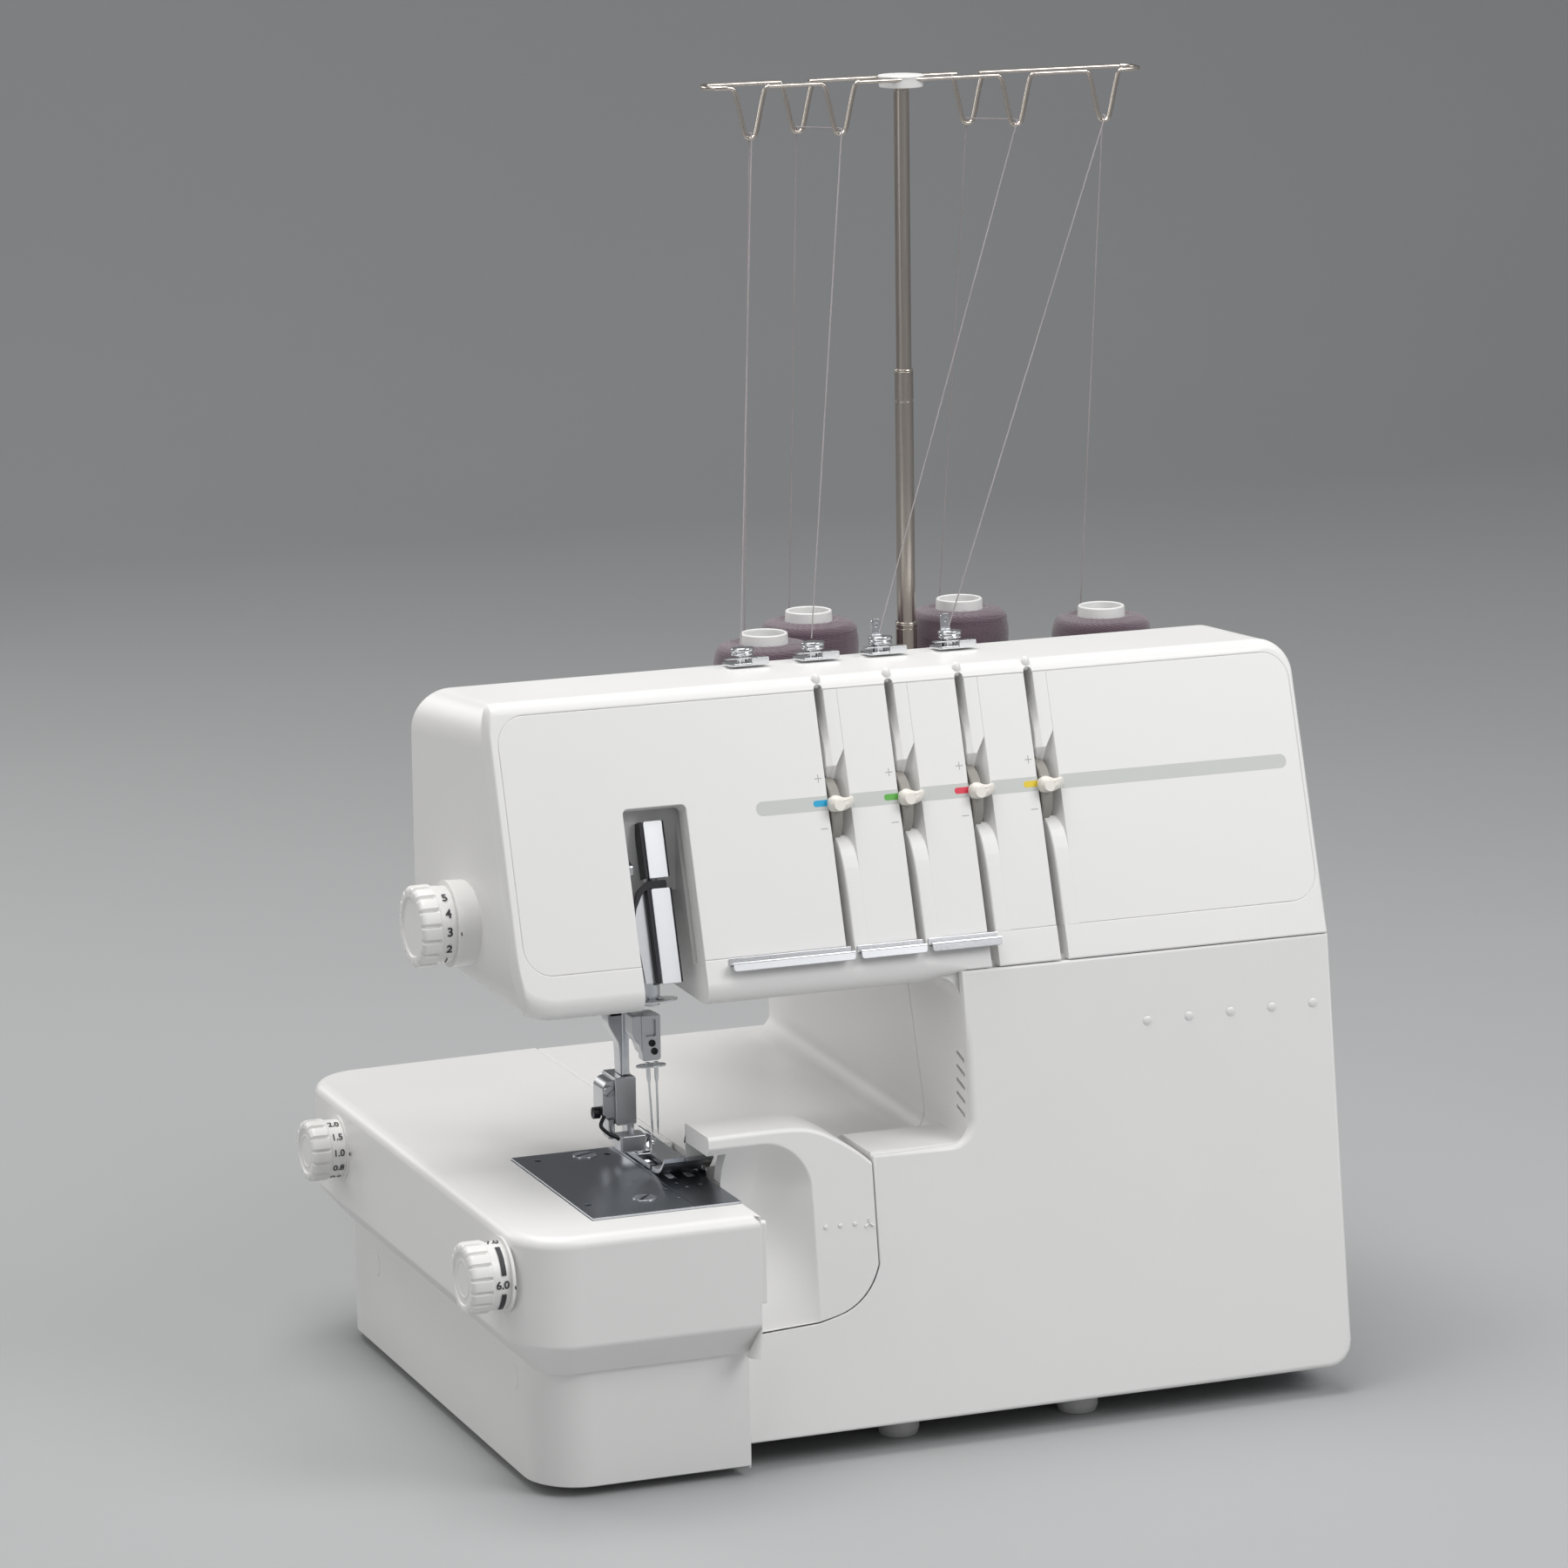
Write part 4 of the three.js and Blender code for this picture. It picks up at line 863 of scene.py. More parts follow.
def inner_wall():
    """The column's left wall, its fillets into the arm and the bed, split at the leaning seam."""
    outline = [(72, BED_TOP - 3, 0, 0.01), (150, BED_TOP - 3, 0, 0.01), (150, ARM_BOTTOM + 3, 0,
               0.01),
               (78, ARM_BOTTOM + 3, 0, 0.01), (78, ARM_BOTTOM - 0.3, 0, 0.01),
               (COLUMN_X, ARM_BOTTOM - 0.3, WALL_TOP, 0.4), (COLUMN_X, BED_TOP + 0.05, WALL_FOOT,
               0.4),
               (72, BED_TOP + 0.05, 0, 0.01)]
    lean = (COLUMN_X_BACK - COLUMN_X) / (BACK - 20)

    def front_part(x, z, depth):
        y = lower_y(z) + 3.9 + depth if depth < 500 else seam_y(z) - (2000 - depth)
        return Vector((x + lean * (y - 10), y, z))

    def rear_part(x, z, depth):
        y = seam_y(z) + 0.45 + depth if depth < 500 else BACK - 14 - (2000 - depth)
        return Vector((x + lean * (y - 10), y, z))

    soft = [(0.4, 0, 0), (0.1, 0, 0.1), (0, 0, 0.4), (0, 0, 1999.6), (0.1, 0, 1999.9),
            (0.4, 0, 2000)]
    front = piece("column_front_frame", "root", "white_plastic", (stack(outline, soft, front_part),
                  WHITE))
    vents = []
    for i in range(5):
        z = 121.5 + 5.3 * i
        y0, y1 = 23.5, 32.5
        bar = slab(edged(0.05, (y0, z - 0.8, 0.75), (y1, z + 1.6, 0.75), (y1, z + 3.2, 0.75),
                         (y0, z + 0.8, 0.75)), 6, across_x(COLUMN_X - 2))
        vents.append(bar)
    carve(front, *vents)
    piece("column_rear_wall", "root", "white_plastic", (stack(outline, soft, rear_part), WHITE))


def housing():
    """Side frame behind the front cover, rear block, bed and shelf."""
    side = edged(0.6, (13, BOTTOM), (ARM_BACK, BOTTOM), (ARM_BACK, SEAM_Z - 0.3),
                 (38, SEAM_Z - 0.3))
    geo = slab(side, RIGHT - 112, across_x(RIGHT, -1))
    piece("column_side_frame", "root", "white_plastic", (geo, WHITE))
    plan = [(COLUMN_X_BACK + 1, ARM_BACK + 0.7, 0, 1), (RIGHT, ARM_BACK + 0.7, 0, 1), (RIGHT, BACK,
            12, 4),
            (COLUMN_X_BACK, BACK, 12, 4)]
    geo = slab(plan, REAR_TOP - BOTTOM, flat_z(REAR_TOP), back=0.8, steps=6)
    piece("rear_block", "root", "white_plastic", (geo, WHITE))
    left = DECK[1].x + 0.45
    bed = slab([(left, 58, 0, 0.4), (76, 58, 0, 0.4), (COLUMN_X_BACK + 3, 58, 0, 0.4),
                (COLUMN_X_BACK + 3, BACK - 1, 0, 1),
                (left, BACK - 1, 0, 1)], BED_TOP - BOTTOM, flat_z(BED_TOP))
    piece("rear_bed", "root", "white_plastic", (bed, WHITE))
    shelf = edged(0.3, (17.5, 90), (57.6, 90), (66, BED_TOP + 0.1, 4), (50, 112.8, 10),
                  (19.5, 112.8, 1.5))
    geo = slab(shelf, 52, across_x(58.6))
    piece("bed_shelf", "root", "white_plastic", (geo, WHITE))
    bay = slab(edged(0.3, (COLUMN_X + 3, 20), (RIGHT - 4, 20), (RIGHT - 4, SEAM_Z - 4, 4),
                     (COLUMN_X + 3, SEAM_Z - 4, 4)), 3, across_y(56))
    piece("looper_bay_wall", "root", "white_plastic", (bay, WHITE))


# ---- cloth deck, lower cover, needle plate ------------------------------------------------------
def left_plan(left, front, back, right_front, right_back, radius, side=0.06):
    step = 66
    return [(left, front, radius, 1), (right_front, front, 0.6, (1, side)), (right_front, step, 0,
            side),
            (right_back, step, 0, side), (right_back, back, 0, side), (left, back, radius, 1)]


def deck():
    top = DECK[1].z
    soft = 4.5
    turns = [math.pi / 2 * k / 7 for k in range(8)]
    rings = [(soft * (1 - math.sin(a)), 0, soft * (1 - math.cos(a))) for a in turns]
    skirt = top - 61.5
    rings += [(0, 0, skirt - 1.6), (0.15, 0, skirt - 0.5), (0.9, 0, skirt + 0.5), (11, 0, top - 49)]
    plan = left_plan(DECK[0].x, DECK[0].y, DECK[1].y, 0.5, DECK[1].x, 22)
    geo = stack(plan, rings, flat_z(top))
    thing = piece("cloth_deck", "root", "white_plastic", (geo, WHITE), replaces=["deck_cover"])
    gap = 0.35
    room = rectangle(PLATE[0].x - gap, PLATE[0].y - gap, 8, PLATE[1].y + gap, 0, 0.05)
    carve(thing, slab(room, 6, flat_z(top + 3)), block(-6, 20, 12, 60, 60, top + 5))
    rib = slab(edged(0.5, (DECK[0].y + 1.2, 70, 0.6), (DECK[0].y + 3.4, 70, 0.6), (DECK[0].y + 3.4,
                     101.6, 0.6), (DECK[0].y + 1.2, 101.6, 1.4)), 3, across_x(2.9, -1))
    piece("deck_side_rib", "root", "white_plastic", (rib, WHITE))


def lower_cover():
    top = 52
    soft = [(0.5, 0, 0), (0, 0, 0.5), (0, 0, top - LOWER[0].z - 4.5), (0.3, 0, top - 4.8),
            (1.2, 0, top - 3.9), (2.4, 0, top - 3.4)]
    plan = left_plan(LOWER[0].x, LOWER[0].y, LOWER[1].y, 0, 7, 21)
    geo = stack(plan, soft, flat_z(top))
    feet = [lathe(profile((0, 0), (7.2, 0, 0.8), (8, 2.4, 1), (8, 5), (0, 5)), upright(-58, y),
                  32) for y in (26, 216)]
    piece("lower_left_casing", "root", "white_plastic", (geo, WHITE), *[(f, WHITE) for f in feet],
          replaces=["lower_left_cover"])
    for n, (y, z) in enumerate(((26.9, 40.9), (197.3, 39.2)), 1):
        cap = lathe(profile((0, 0.25), (5.2, 0.25, 0.3), (5.5, -0.5), (0, -0.5)),
                    leftward(LOWER[0].x, y, z), 48)
        piece(f"screw_cap_{n}", "root", "white_plastic", (cap, WHITE))


def needle_plate():
    low, high = PLATE
    seam = -17.8
    wide_z = flat_z(high.z)
    thick = high.z - low.z

    def holes(left, right):
        out = []
        for x, y, r in ((-50.5, 88.2, 1.4), (-53.7, 21.6, 1.4), (-22.8, 87, 1.4), (-19.8, 31.1,
                        0.8), (-19.5, 16.9, 0.8),
                        (-11.4, 30, 0.8), (-13.4, 36.5, 0.7), (-5.6, 31.5, 0.8)):
            if left < x < right:
                out.append((circle(x, y, r, 16, 0), 0.15, 1.2))
        return out
    slots = [([(x, y0, 0), (x + 2.9, y0, 0), (x + 2.9, y1, 0), (x, y1, 0)], 0.1, 1.9)
             for x in (-13.4, -6.2) for y0, y1 in ((43.2, 57), (68, 88))]
    slots.append(([(-16.4, 58.6, 1), (-9.6, 58.6, 1), (-9.6, 65.6, 1), (-16.4, 65.6, 1)], 0.2, 1.9))
    left_geo = slab(rectangle(low.x, low.y, seam - 0.08, high.y, 0.4, 0.25), thick, wide_z, 0.2,
                    holes(low.x, seam), steps=2)
    right_geo = slab(rectangle(seam + 0.08, low.y, high.x, high.y, 0.4, 0.25), thick, wide_z, 0.2,
                     holes(seam, high.x) + slots, steps=2)
    rim = []
    for x0, x1, y0, y1 in ((low.x - 0.05, high.x + 0.05, low.y - 0.05, low.y + 0.12),
                           (low.x - 0.05, low.x + 0.12, low.y, high.y), (high.x - 0.12,
                           high.x + 0.05, low.y, high.y)):
        rim.append((block(x0, x1, y0, y1, low.z + 0.2, high.z - 0.12, 0.05, 0.03), EDGE_STEEL))
    piece("needle_plate_detail", "root", "steel", (left_geo, PLATE_STEEL), (right_geo, PLATE_STEEL),
          *rim,
          replaces=["needle_plate"])
    for n, (x, y) in enumerate(((-31.7, 88.3), (-31.3, 21.5)), 1):
        slotted_screw(f"plate_screw_{n}", "root", upright(x, y, high.z - 0.6), 4.6, 1.0,
                      turn=0.4 * n)


def slotted_screw(name, body, place, r, high, turn=0.0, paint=None, slot_wide=0.16):
    """Flat screw head with a turned edge and a straight slot."""
    head = lathe(profile((0, 0), (r, 0), (r, high, 0.25), (r * 0.72, high + 0.12),
                         (0, high + 0.14)),
                 place, 40)
    thing = piece(name, body, "steel", (head, paint or EDGE_STEEL))
    c, s = math.cos(turn), math.sin(turn)

    def turned(a, b, h):
        return place(a * c - b * s, a * s + b * c, h)
    bar = Geo()
    w, l = r * slot_wide, r * 0.92
    low = bar.loop([turned(a, b, high * 0.45) for a, b in ((-l, -w), (l, -w), (l, w), (-l, w))])
    top = bar.loop([turned(a, b, high + 1) for a, b in ((-l, -w), (l, -w), (l, w), (-l, w))])
    bar.strip(low, top)
    bar.faces += [low[::-1], top]
    carve(thing, bar)


# ---- front cover and inset ----------------------------------------------------------------------
INSET_RIGHT = 57.4


def sweep(gap):
    """Curved lower right edge of the inset."""
    return edged(0.5, (1, 51.4 - gap), (32, 53.1 - gap, 6), (51.6 + gap, 57.6, 24),
                 (INSET_RIGHT + gap, 72, 3))


def front_cover():
    left, top = 1, 177.9
    outline = [(left, BOTTOM, 0, 0.8), (RIGHT, BOTTOM, 10, (2.2, 3)), (RIGHT, top, 0, 1),
               (COLUMN_X, top, 0, 1.2),
               (COLUMN_X, 150, 0, 3), (COLUMN_X, 113.5, 9, (3, 2.2)), (INSET_RIGHT + 0.35, 112.6, 0,
               1.0),
               *sweep(0.35)[::-1]]
    geo = slab(outline, 3.6, on_lower, steps=6)
    side = slab(edged(0.2, (3.4, BOTTOM + 9), (12.5, BOTTOM + 9), (12.5 + LOWER_LEAN * 157,
                      top - 0.4), (3.4 + LOWER_LEAN * 157, top - 0.4)), 3, across_x(RIGHT, -1))
    foot = slab(rectangle(2.5, BOTTOM, 12, BOTTOM + 2.6, 0, 0.2),
                RIGHT - 14, across_x(left))
    dots = []
    for x in steps_between(173.6, 243.6, 4):
        centre = on_lower(x, 152, -0.02)
        rings = [(1.9 * math.sin(a), 0.75 * (math.cos(a) - 0.05)) for a in steps_between(0.001,
                 math.pi / 2, 6)]
        dots.append((lathe(rings, frontward(*centre), 24), WHITE))
    piece("front_cover_shell", "cover", "white_plastic", (geo, WHITE), (side, WHITE), (foot, WHITE),
          *dots,
          replaces=["front_cover"])


def scoop_depth(x, z):
    """Depth of the hollow for trimmed cloth: bounded on the right and on top by one bent edge."""
    wall_x, wall_z, radius, deep, reach = 32.5, 121.8, 19, 13, 24
    dx, dz = wall_x - x, wall_z - z
    if dx < radius and dz < radius:
        inside = radius - math.hypot(radius - dx, radius - dz)
    else:
        inside = min(dx, dz)
    if inside <= 0:
        return 0
    share = min(1, inside / reach)
    return deep * (1 - (1 - share) ** 2.2) * (0.3 + 0.7 * ease((z - 51) / 45))


def height_of(path, x):
    """Height of a path at x, also just past its ends."""
    for a, b in zip(path, path[1:]):
        if a.x <= x <= b.x and b.x > a.x + 0.001:
            return a.y + (b.y - a.y) * (x - a.x) / (b.x - a.x)
    return path[0].y if x < path[0].x else next(p.y for p in path if p.x > path[-1].x - 0.05)


def inset_panel():
    """The inset: its face with the hollow, and the ridge on top that runs back to the bed's shelf."""
    right = INSET_RIGHT - 0.3
    left = -7.4
    split = 107.5
    bottom = [p for p, _ in fillet([(x, z, r) for x, z, r, _ in sweep(-0.3)] + [(right, 108, 0)],
                                   closed=False)]
    top = smooth_path([(left, 126.3, 0), (10, 126.6, 0), (27, 126.4, 0), (36, 124.6, 0),
                       (45, 120.0, 0),
                       (52, 115.2, 0), (right, 110.8, 0)], 8)
    xs = steps_between(left, 1, 10)[:-1] + steps_between(1, 20, 24)
    xs += steps_between(20.4, 34, 36) + steps_between(35, right, 22)
    start = 9
    face = Geo()
    soft, back_d = 1.7, 24.5
    grid_rows = []
    for share in steps_between(0, 1, 56):
        low_row = []
        for x in xs[start:]:
            z = height_of(bottom, x)
            z += (split - z) * share
            low_row.append(on_lower(x, z, scoop_depth(x, z)))
        grid_rows.append(face.loop(low_row))
    for a, b in zip(grid_rows, grid_rows[1:]):
        face.strip(a, b, closed=False)
    ledge = face.loop([on_lower(x, height_of(bottom, x), 0) for x in xs[start:]])
    face.strip(ledge, grid_rows[0], closed=False)
    deep = face.loop([face.verts[r[-1]] + Vector((0, 14, 0)) for r in grid_rows])
    face.strip([r[-1] for r in grid_rows], deep, closed=False)
    upper_rows = []
    for share in steps_between(0, 1, 44):
        row = []
        for x in xs:
            z = split + (height_of(top, x) - soft - split) * share
            row.append(on_lower(x, z, scoop_depth(x, z)))
        upper_rows.append(row)
    for a in steps_between(math.pi / 10, math.pi / 2, 5):
        upper_rows.append([on_lower(x, height_of(top, x) - soft * (1 - math.sin(a)),
                                    soft * (1 - math.cos(a))) for x in xs])
    rear_y = lower_y(126) + back_d
    last = upper_rows[-1]
    for share in (0.5, 1):
        upper_rows.append([Vector((v.x, v.y + (rear_y - v.y) * share, v.z)) for v in last])
    upper_rows.append([Vector((v.x, rear_y + 0.5, v.z - 0.6)) for v in last])
    upper_rows.append([Vector((v.x, rear_y + 0.5, v.z - 14)) for v in last])
    loops = [face.loop(row) for row in upper_rows]
    overhang = 30
    for k, (a, b) in enumerate(zip(loops, loops[1:])):
        first = start if k < overhang else 0
        face.strip(a[first:], b[first:], closed=False)
    side = len(loops) - 4
    for column, below in ((0, overhang), (-1, 0)):
        line = [r[column] for r in loops[below:side]]
        far = face.loop([Vector((face.verts[i].x, rear_y, face.verts[i].z)) for i in line])
        face.strip(line, far, closed=False)
    under = loops[overhang][:start + 1]
    face.strip(under,
               face.loop([Vector((face.verts[i].x, rear_y, face.verts[i].z)) for i in under]),
               closed=False)
    edge = [r[start] for r in loops[:overhang + 1]]
    face.strip(edge, face.loop([face.verts[i] + Vector((0, 7, 0)) for i in edge]), closed=False)
    dots = []
    for x in (36.8, 42.7, 48.6):
        centre = on_lower(x, 88.2, -0.02)
        rings = [(0.95 * math.sin(a), 0.6 * (math.cos(a) - 0.05)) for a in steps_between(0.001,
                 math.pi / 2, 6)]
        dots.append((lathe(rings, frontward(*centre), 16), WHITE))
    for turn in (0, 2 * math.pi / 3, 4 * math.pi / 3):
        a = on_lower(54.4 + 0.3 * math.sin(turn), 87.8 + 0.3 * math.cos(turn), -0.25)
        b = on_lower(54.4 + 2.0 * math.sin(turn), 87.8 + 2.0 * math.cos(turn), -0.25)
        dots.append((tube([a, b], 0.4, 8), WHITE))
    piece("front_cover_inset_detail", "cover", "white_plastic", (face, WHITE), *dots,
          replaces=["front_cover_inset"], sharp=50)
    tab = slab(rectangle(0.6, 99.6, 6.8, 101.6, 0.8, 0.4), 6, across_y(38))
    piece("cutter_release_tab", "root", "cream_plastic", (tab, CREAM))



# ---- needle bar, presser, take-up ---------------------------------------------------------------
def hex_socket_screw(name, body, place, r, high, paint=None):
    """Round set screw with a hexagonal hole."""
    paint = paint or DARK_STEEL
    hexagon = circle(0, 0, r * 0.5, 6, 0)
    geo = slab(circle(0, 0, r, 32, 0, 0.22), high, lambda u, v, d: place(u, v, high - d), back=0.05,
               holes=[(hexagon, 0.08, high * 0.7)], steps=3)
    piece(name, body, "steel", (geo, paint))


def needles():
    bar = span("needle_bar")
    x, y = (bar[0].x + bar[1].x) / 2, (bar[0].y + bar[1].y) / 2
    clamp = span("needle_clamp")
    geo = lathe(profile((0, bar[0].z), (3.5, bar[0].z, 0.4), (3.5, bar[1].z, 0.6), (0, bar[1].z)),
                upright(x, y), 48)
    piece("needle_bar_rod", "needle_bar", "steel", (geo, EDGE_STEEL), replaces=["needle_bar"])
    x0, x1, y0, y1, z0, z1 = clamp[0].x, clamp[1].x, clamp[0].y, clamp[1].y, clamp[0].z, clamp[1].z
    x0, x1, z0, z1 = x0 - 3.6, x1 - 3.2, z0 + 1.4, z1 - 2.6
    face = edged(0.35, (x0 + 3.8, z0, 0.8), (x1, z0, 1.2), (x1, z1, 0.8), (x0 + 3.4, z1, 0.8))
    window = [(-17.0, 156.8, 0.7), (-12.9, 156.8, 0.7), (-12.9, 163.4, 0.7), (-17.0, 163.4, 0.7)]
    front = slab(face, 5.2, across_y(y0), back=0.3, holes=[(window, 0.15, 1.3)], steps=3)
    shoulder = slab([(x0 + 3.8, 150, 0, 0.3), (x0 + 4.6, 150, 0, 0.3), (x0 + 4.6, z1, 0, 0.3),
                     (x0, z1, 0.8, 0.4),
                     (x0, 157.6, 1, 0.4), (x0 + 2.4, 154, 3, 0.4)], y1 - y0 - 0.6,
                    across_y(y0 + 0.5), back=0.4, steps=3)
    rear = block(x0 + 4, x1 - 0.6, y0 + 4, y1, z0 + 2, z1, 1.5, 0.5)
    piece("needle_clamp_body", "needle_bar", "steel", (front, STEEL), (shoulder, STEEL),
          (rear, STEEL),
          replaces=["needle_clamp"])
    for n, z in enumerate((154.2, 151.0), 1):
        hex_socket_screw(f"needle_set_screw_{n}", "needle_bar", frontward(-15.4 + 0.9 * n,
                         y0 + 0.15, z), 1.35, 0.7)
    for n, name in enumerate(("left_needle", "right_needle")):
        low, high = span(name)
        nx = (low.x + high.x) / 2
        shape = [(0.0, low.z), (0.12, low.z + 0.8), (0.34, low.z + 3), (0.42, low.z + 6),
                 (0.42, low.z + 20.5),
                 (0.8, low.z + 22.5), (0.85, high.z), (0, high.z)]
        lean = 0.055 if n == 0 else 0.012
        geo = lathe(shape, lambda a, b, h, nx=nx, lean=lean: Vector((nx + a + (high.z - h) * lean,
                    y + b, h)), 24)
        piece(f"{name}_shaft", "needle_bar", "chrome", (geo, EDGE_STEEL), replaces=[name])
    for n, (cx, cz, rx, ry) in enumerate(((-12.9, 170.6, 9.6, 4.4), (-14.4, 145.4, 6.0, 3.0)), 1):
        oval = circle(cx, y - 2.5, rx, 48, 0, 0.12, tall=ry)
        eyes = [circle(cx + off, y - 3.6, 1.5, 16, 0, tall=0.9) for off in (2.2, -3.2)]
        geo = slab(oval, 0.7, flat_z(cz), back=0.12, holes=[(eye, 0.1, 0.6) for eye in eyes],
                   steps=3)
        piece(f"thread_guide_plate_{n}", "root" if n == 1 else "needle_bar", "chrome",
              (geo, CHROME))


def presser():
    bar = span("presser_bar")
    x0, x1, y0, y1 = bar[0].x - 3, bar[1].x - 3, bar[0].y, bar[1].y
    upper = slab(rectangle(x0 - 1.6, y0, x1, y1, 1.2, 0.1), bar[1].z - 160, flat_z(bar[1].z),
                 back=0.2)
    web = slab(edged(0.3, (x0 + 3.4, bar[0].z), (x1, bar[0].z), (x1, 168), (x0 - 1.6, 168),
                     (x0 - 1.4, 157, 8), (x0 + 3.0, 149, 10)), y1 - y0, across_y(y0), back=0.3,
               steps=3)
    lug = slab(rectangle(x1 - 3.2, bar[0].z, x1 - 0.4, 174, 0, 0.5),
               1.6, across_y(y0 - 1.3), back=0.3, steps=3)
    piece("presser_bar_body", "presser", "steel", (upper, STEEL), (web, STEEL), (lug, EDGE_STEEL),
          replaces=["presser_bar"])
    ankle = span("presser_ankle")
    a0, a1 = [corner - Vector((5.2, 0, 0)) for corner in ankle]
    z_top, z_low = a1.z, 118
    body = slab(edged(0.45, (a0.x + 4.9, z_low, 0.8), (a1.x, z_low, 0.8), (a1.x, z_top, 0.8),
                      (a0.x + 4.4, z_top, 0.8)),
                a1.y - a0.y, across_y(a0.y), back=0.45, steps=3)
    left = slab(edged(0.3, (a0.x, z_low + 3, 1.2), (a0.x + 5, z_low + 3, 0.6), (a0.x + 5, z_top - 1,
                      0.6), (a0.x + 1.6, z_top - 1, 4), (a0.x, z_top - 4, 2)), 11,
                across_y(a0.y + 1.6), back=0.3, steps=3)
    forks = [block(fx, fx + 2.6, a0.y + 2, a0.y + 10, 112.6, z_low + 2, 1,
                   0.3) for fx in (a0.x + 2.4, a1.x - 2.8)]
    piece("presser_ankle_body", "presser", "steel", (body, STEEL), (left, STEEL),
          *[(f, STEEL) for f in forks],
          replaces=["presser_ankle"])
    slotted_screw("ankle_screw_upper", "presser", frontward(a0.x + 2.3, a0.y + 1.6, 131.6), 2.1,
                  1.3, 0.7, STEEL, 0.3)
    slotted_screw("ankle_screw_side", "presser", leftward(a0.x - 0.1, a0.y + 6, 122.5), 2.3, 2.6,
                  1.2, DARK_STEEL, 0.2)
    lever = smooth_path([(a0.x + 0.6, a0.y + 2, 122), (a0.x - 1.2, a0.y + 1, 118.5),
                         (a0.x + 1.0, a0.y - 1, 115.8),
                         (a0.x + 3.6, a0.y - 1.5, 114.4), (a0.x + 5.4, a0.y - 2, 113)], 6)
    piece("foot_release_lever", "presser", "blackened_steel", (tube(lever, 0.75, 12), DARK_STEEL))
    presser_foot()


def presser_foot():
    low, high = span("presser_foot")
    left, right = low.x + 1.4, high.x
    a_left = -22.4
    sole = low.z + 0.05
    path = [(104, 0.9), (96, 0.2), (84, 0.0), (60, 0.0), (52, 0.1), (48, 0.8), (45.4, 2.2),
            (43.4, 4.0), (42.2, 5.4), (41.4, 6.0)]
    thick = 1.7

    def skin(x_list, ys_hs, top):
        geo = Geo()
        upper = [geo.loop([Vector((x, yy, sole + hh + top)) for x in x_list]) for yy, hh in ys_hs]
        lower = [geo.loop([Vector((x, yy + 0.25, sole + hh)) for x in x_list]) for yy, hh in ys_hs]
        for rows in (upper, lower):
            for a, b in zip(rows, rows[1:]):
                geo.strip(a, b, closed=False)
        ring_u = upper[0] + [r[-1] for r in upper[1:]] + upper[-1][::-1][1:] + [r[0] for r in upper[1:-1]][::-1]
        ring_l = lower[0] + [r[-1] for r in lower[1:]] + lower[-1][::-1][1:] + [r[0] for r in lower[1:-1]][::-1]
        geo.strip(ring_u, ring_l)
        return geo
    smooth = [(p.x, p.y) for p in smooth_path([(a, b, 0) for a, b in path], 5)]
    front_part = [q for q in smooth if q[0] <= 56]
    toe = skin([left, left + 0.4, -8.4, -8.1], front_part, thick)
    toe_right = skin([-7.9, -7.5, right - 3.4, right - 3], front_part, thick)
    left_rail = skin([left, left + 0.4, NEEDLE_SLOT[0] - 0.3, NEEDLE_SLOT[0]],
                     [q for q in smooth if q[0] >= 55.5], thick)
    right_rail = skin([NEEDLE_SLOT[1], NEEDLE_SLOT[1] + 0.3, -0.8, -0.4],
                      [q for q in smooth if q[0] >= 55.5], thick)
    bridge = block(NEEDLE_SLOT[0] - 0.2, NEEDLE_SLOT[1] + 0.2, 72, 92, sole + 0.1,
                   sole + thick + 0.6, 0.6, 0.3)
    walls = [block(wx, wx + 1.2, 76, 90, sole + 1, sole + 8.5, 1.2, 0.35) for wx in (left + 0.5,
             left + 6.6)]
    pin = tube([Vector((left - 0.2, 82.5, sole + 6)), Vector((left + 8.6, 82.5, sole + 6))], 0.9,
               16)
    roller = tube([Vector((-11.6, 82.5, sole + 6)), Vector((-6.4, 79, sole + 4.2))], 1.5, 20)
    finger = tube(smooth_path([(right - 4, 60, sole + 2), (right - 3.6, 54, sole + 3.2),
                               (right - 3.2, 49, sole + 3), (right - 3, 46.2, sole + 3.6)], 5), 0.8,
                  12)
    clip = slab(edged(0.1, (0, 0, 0.4), (6.2, 0, 0.4), (5.4, 8, 1), (0.6, 8, 1)), 0.6,
                lambda u, v, d: Vector((-5.4 + u, 49.5 + v, sole + thick + 1.1 + 0.12 * v - d)),
                back=0.1, steps=2)
    marks = [(block(-13.6 + 2.6 * k, -12.2 + 2.6 * k, 43.8, 46.4, sole + 4.2, sole + 6.6, 0.6, 0.3),
              CHROME) for k in range(3)]
    piece("presser_foot_body", "presser", "chrome", (toe, SATIN_STEEL), (toe_right, SATIN_STEEL),
          (left_rail, SATIN_STEEL), (right_rail, SATIN_STEEL),
          (bridge, CHROME), (walls[0], CHROME), (walls[1], CHROME), (pin, EDGE_STEEL),
          (roller, CHROME), (finger, CHROME),
          (clip, STEEL), *marks, replaces=["presser_foot"], sharp=30)
    cheek = slab(edged(0.3, (44.5, sole + 1, 1), (60, sole + 0.4, 0.4), (60, sole + 5.4, 1.5),
                       (56, sole + 7.6, 1.5), (46.5, sole + 7.4, 1.5)), 1.6, across_x(right - 6.6),
                 back=0.3, steps=3)
    hinge = block(a_left, a_left + 10.4, 72, 80.5, sole + 3.4, sole + 9.6, 1.2, 0.5)
    piece("presser_foot_hinge", "presser", "chrome", (cheek, SATIN_STEEL), (hinge, SATIN_STEEL))


NEEDLE_SLOT = (-15.8, -10.4)


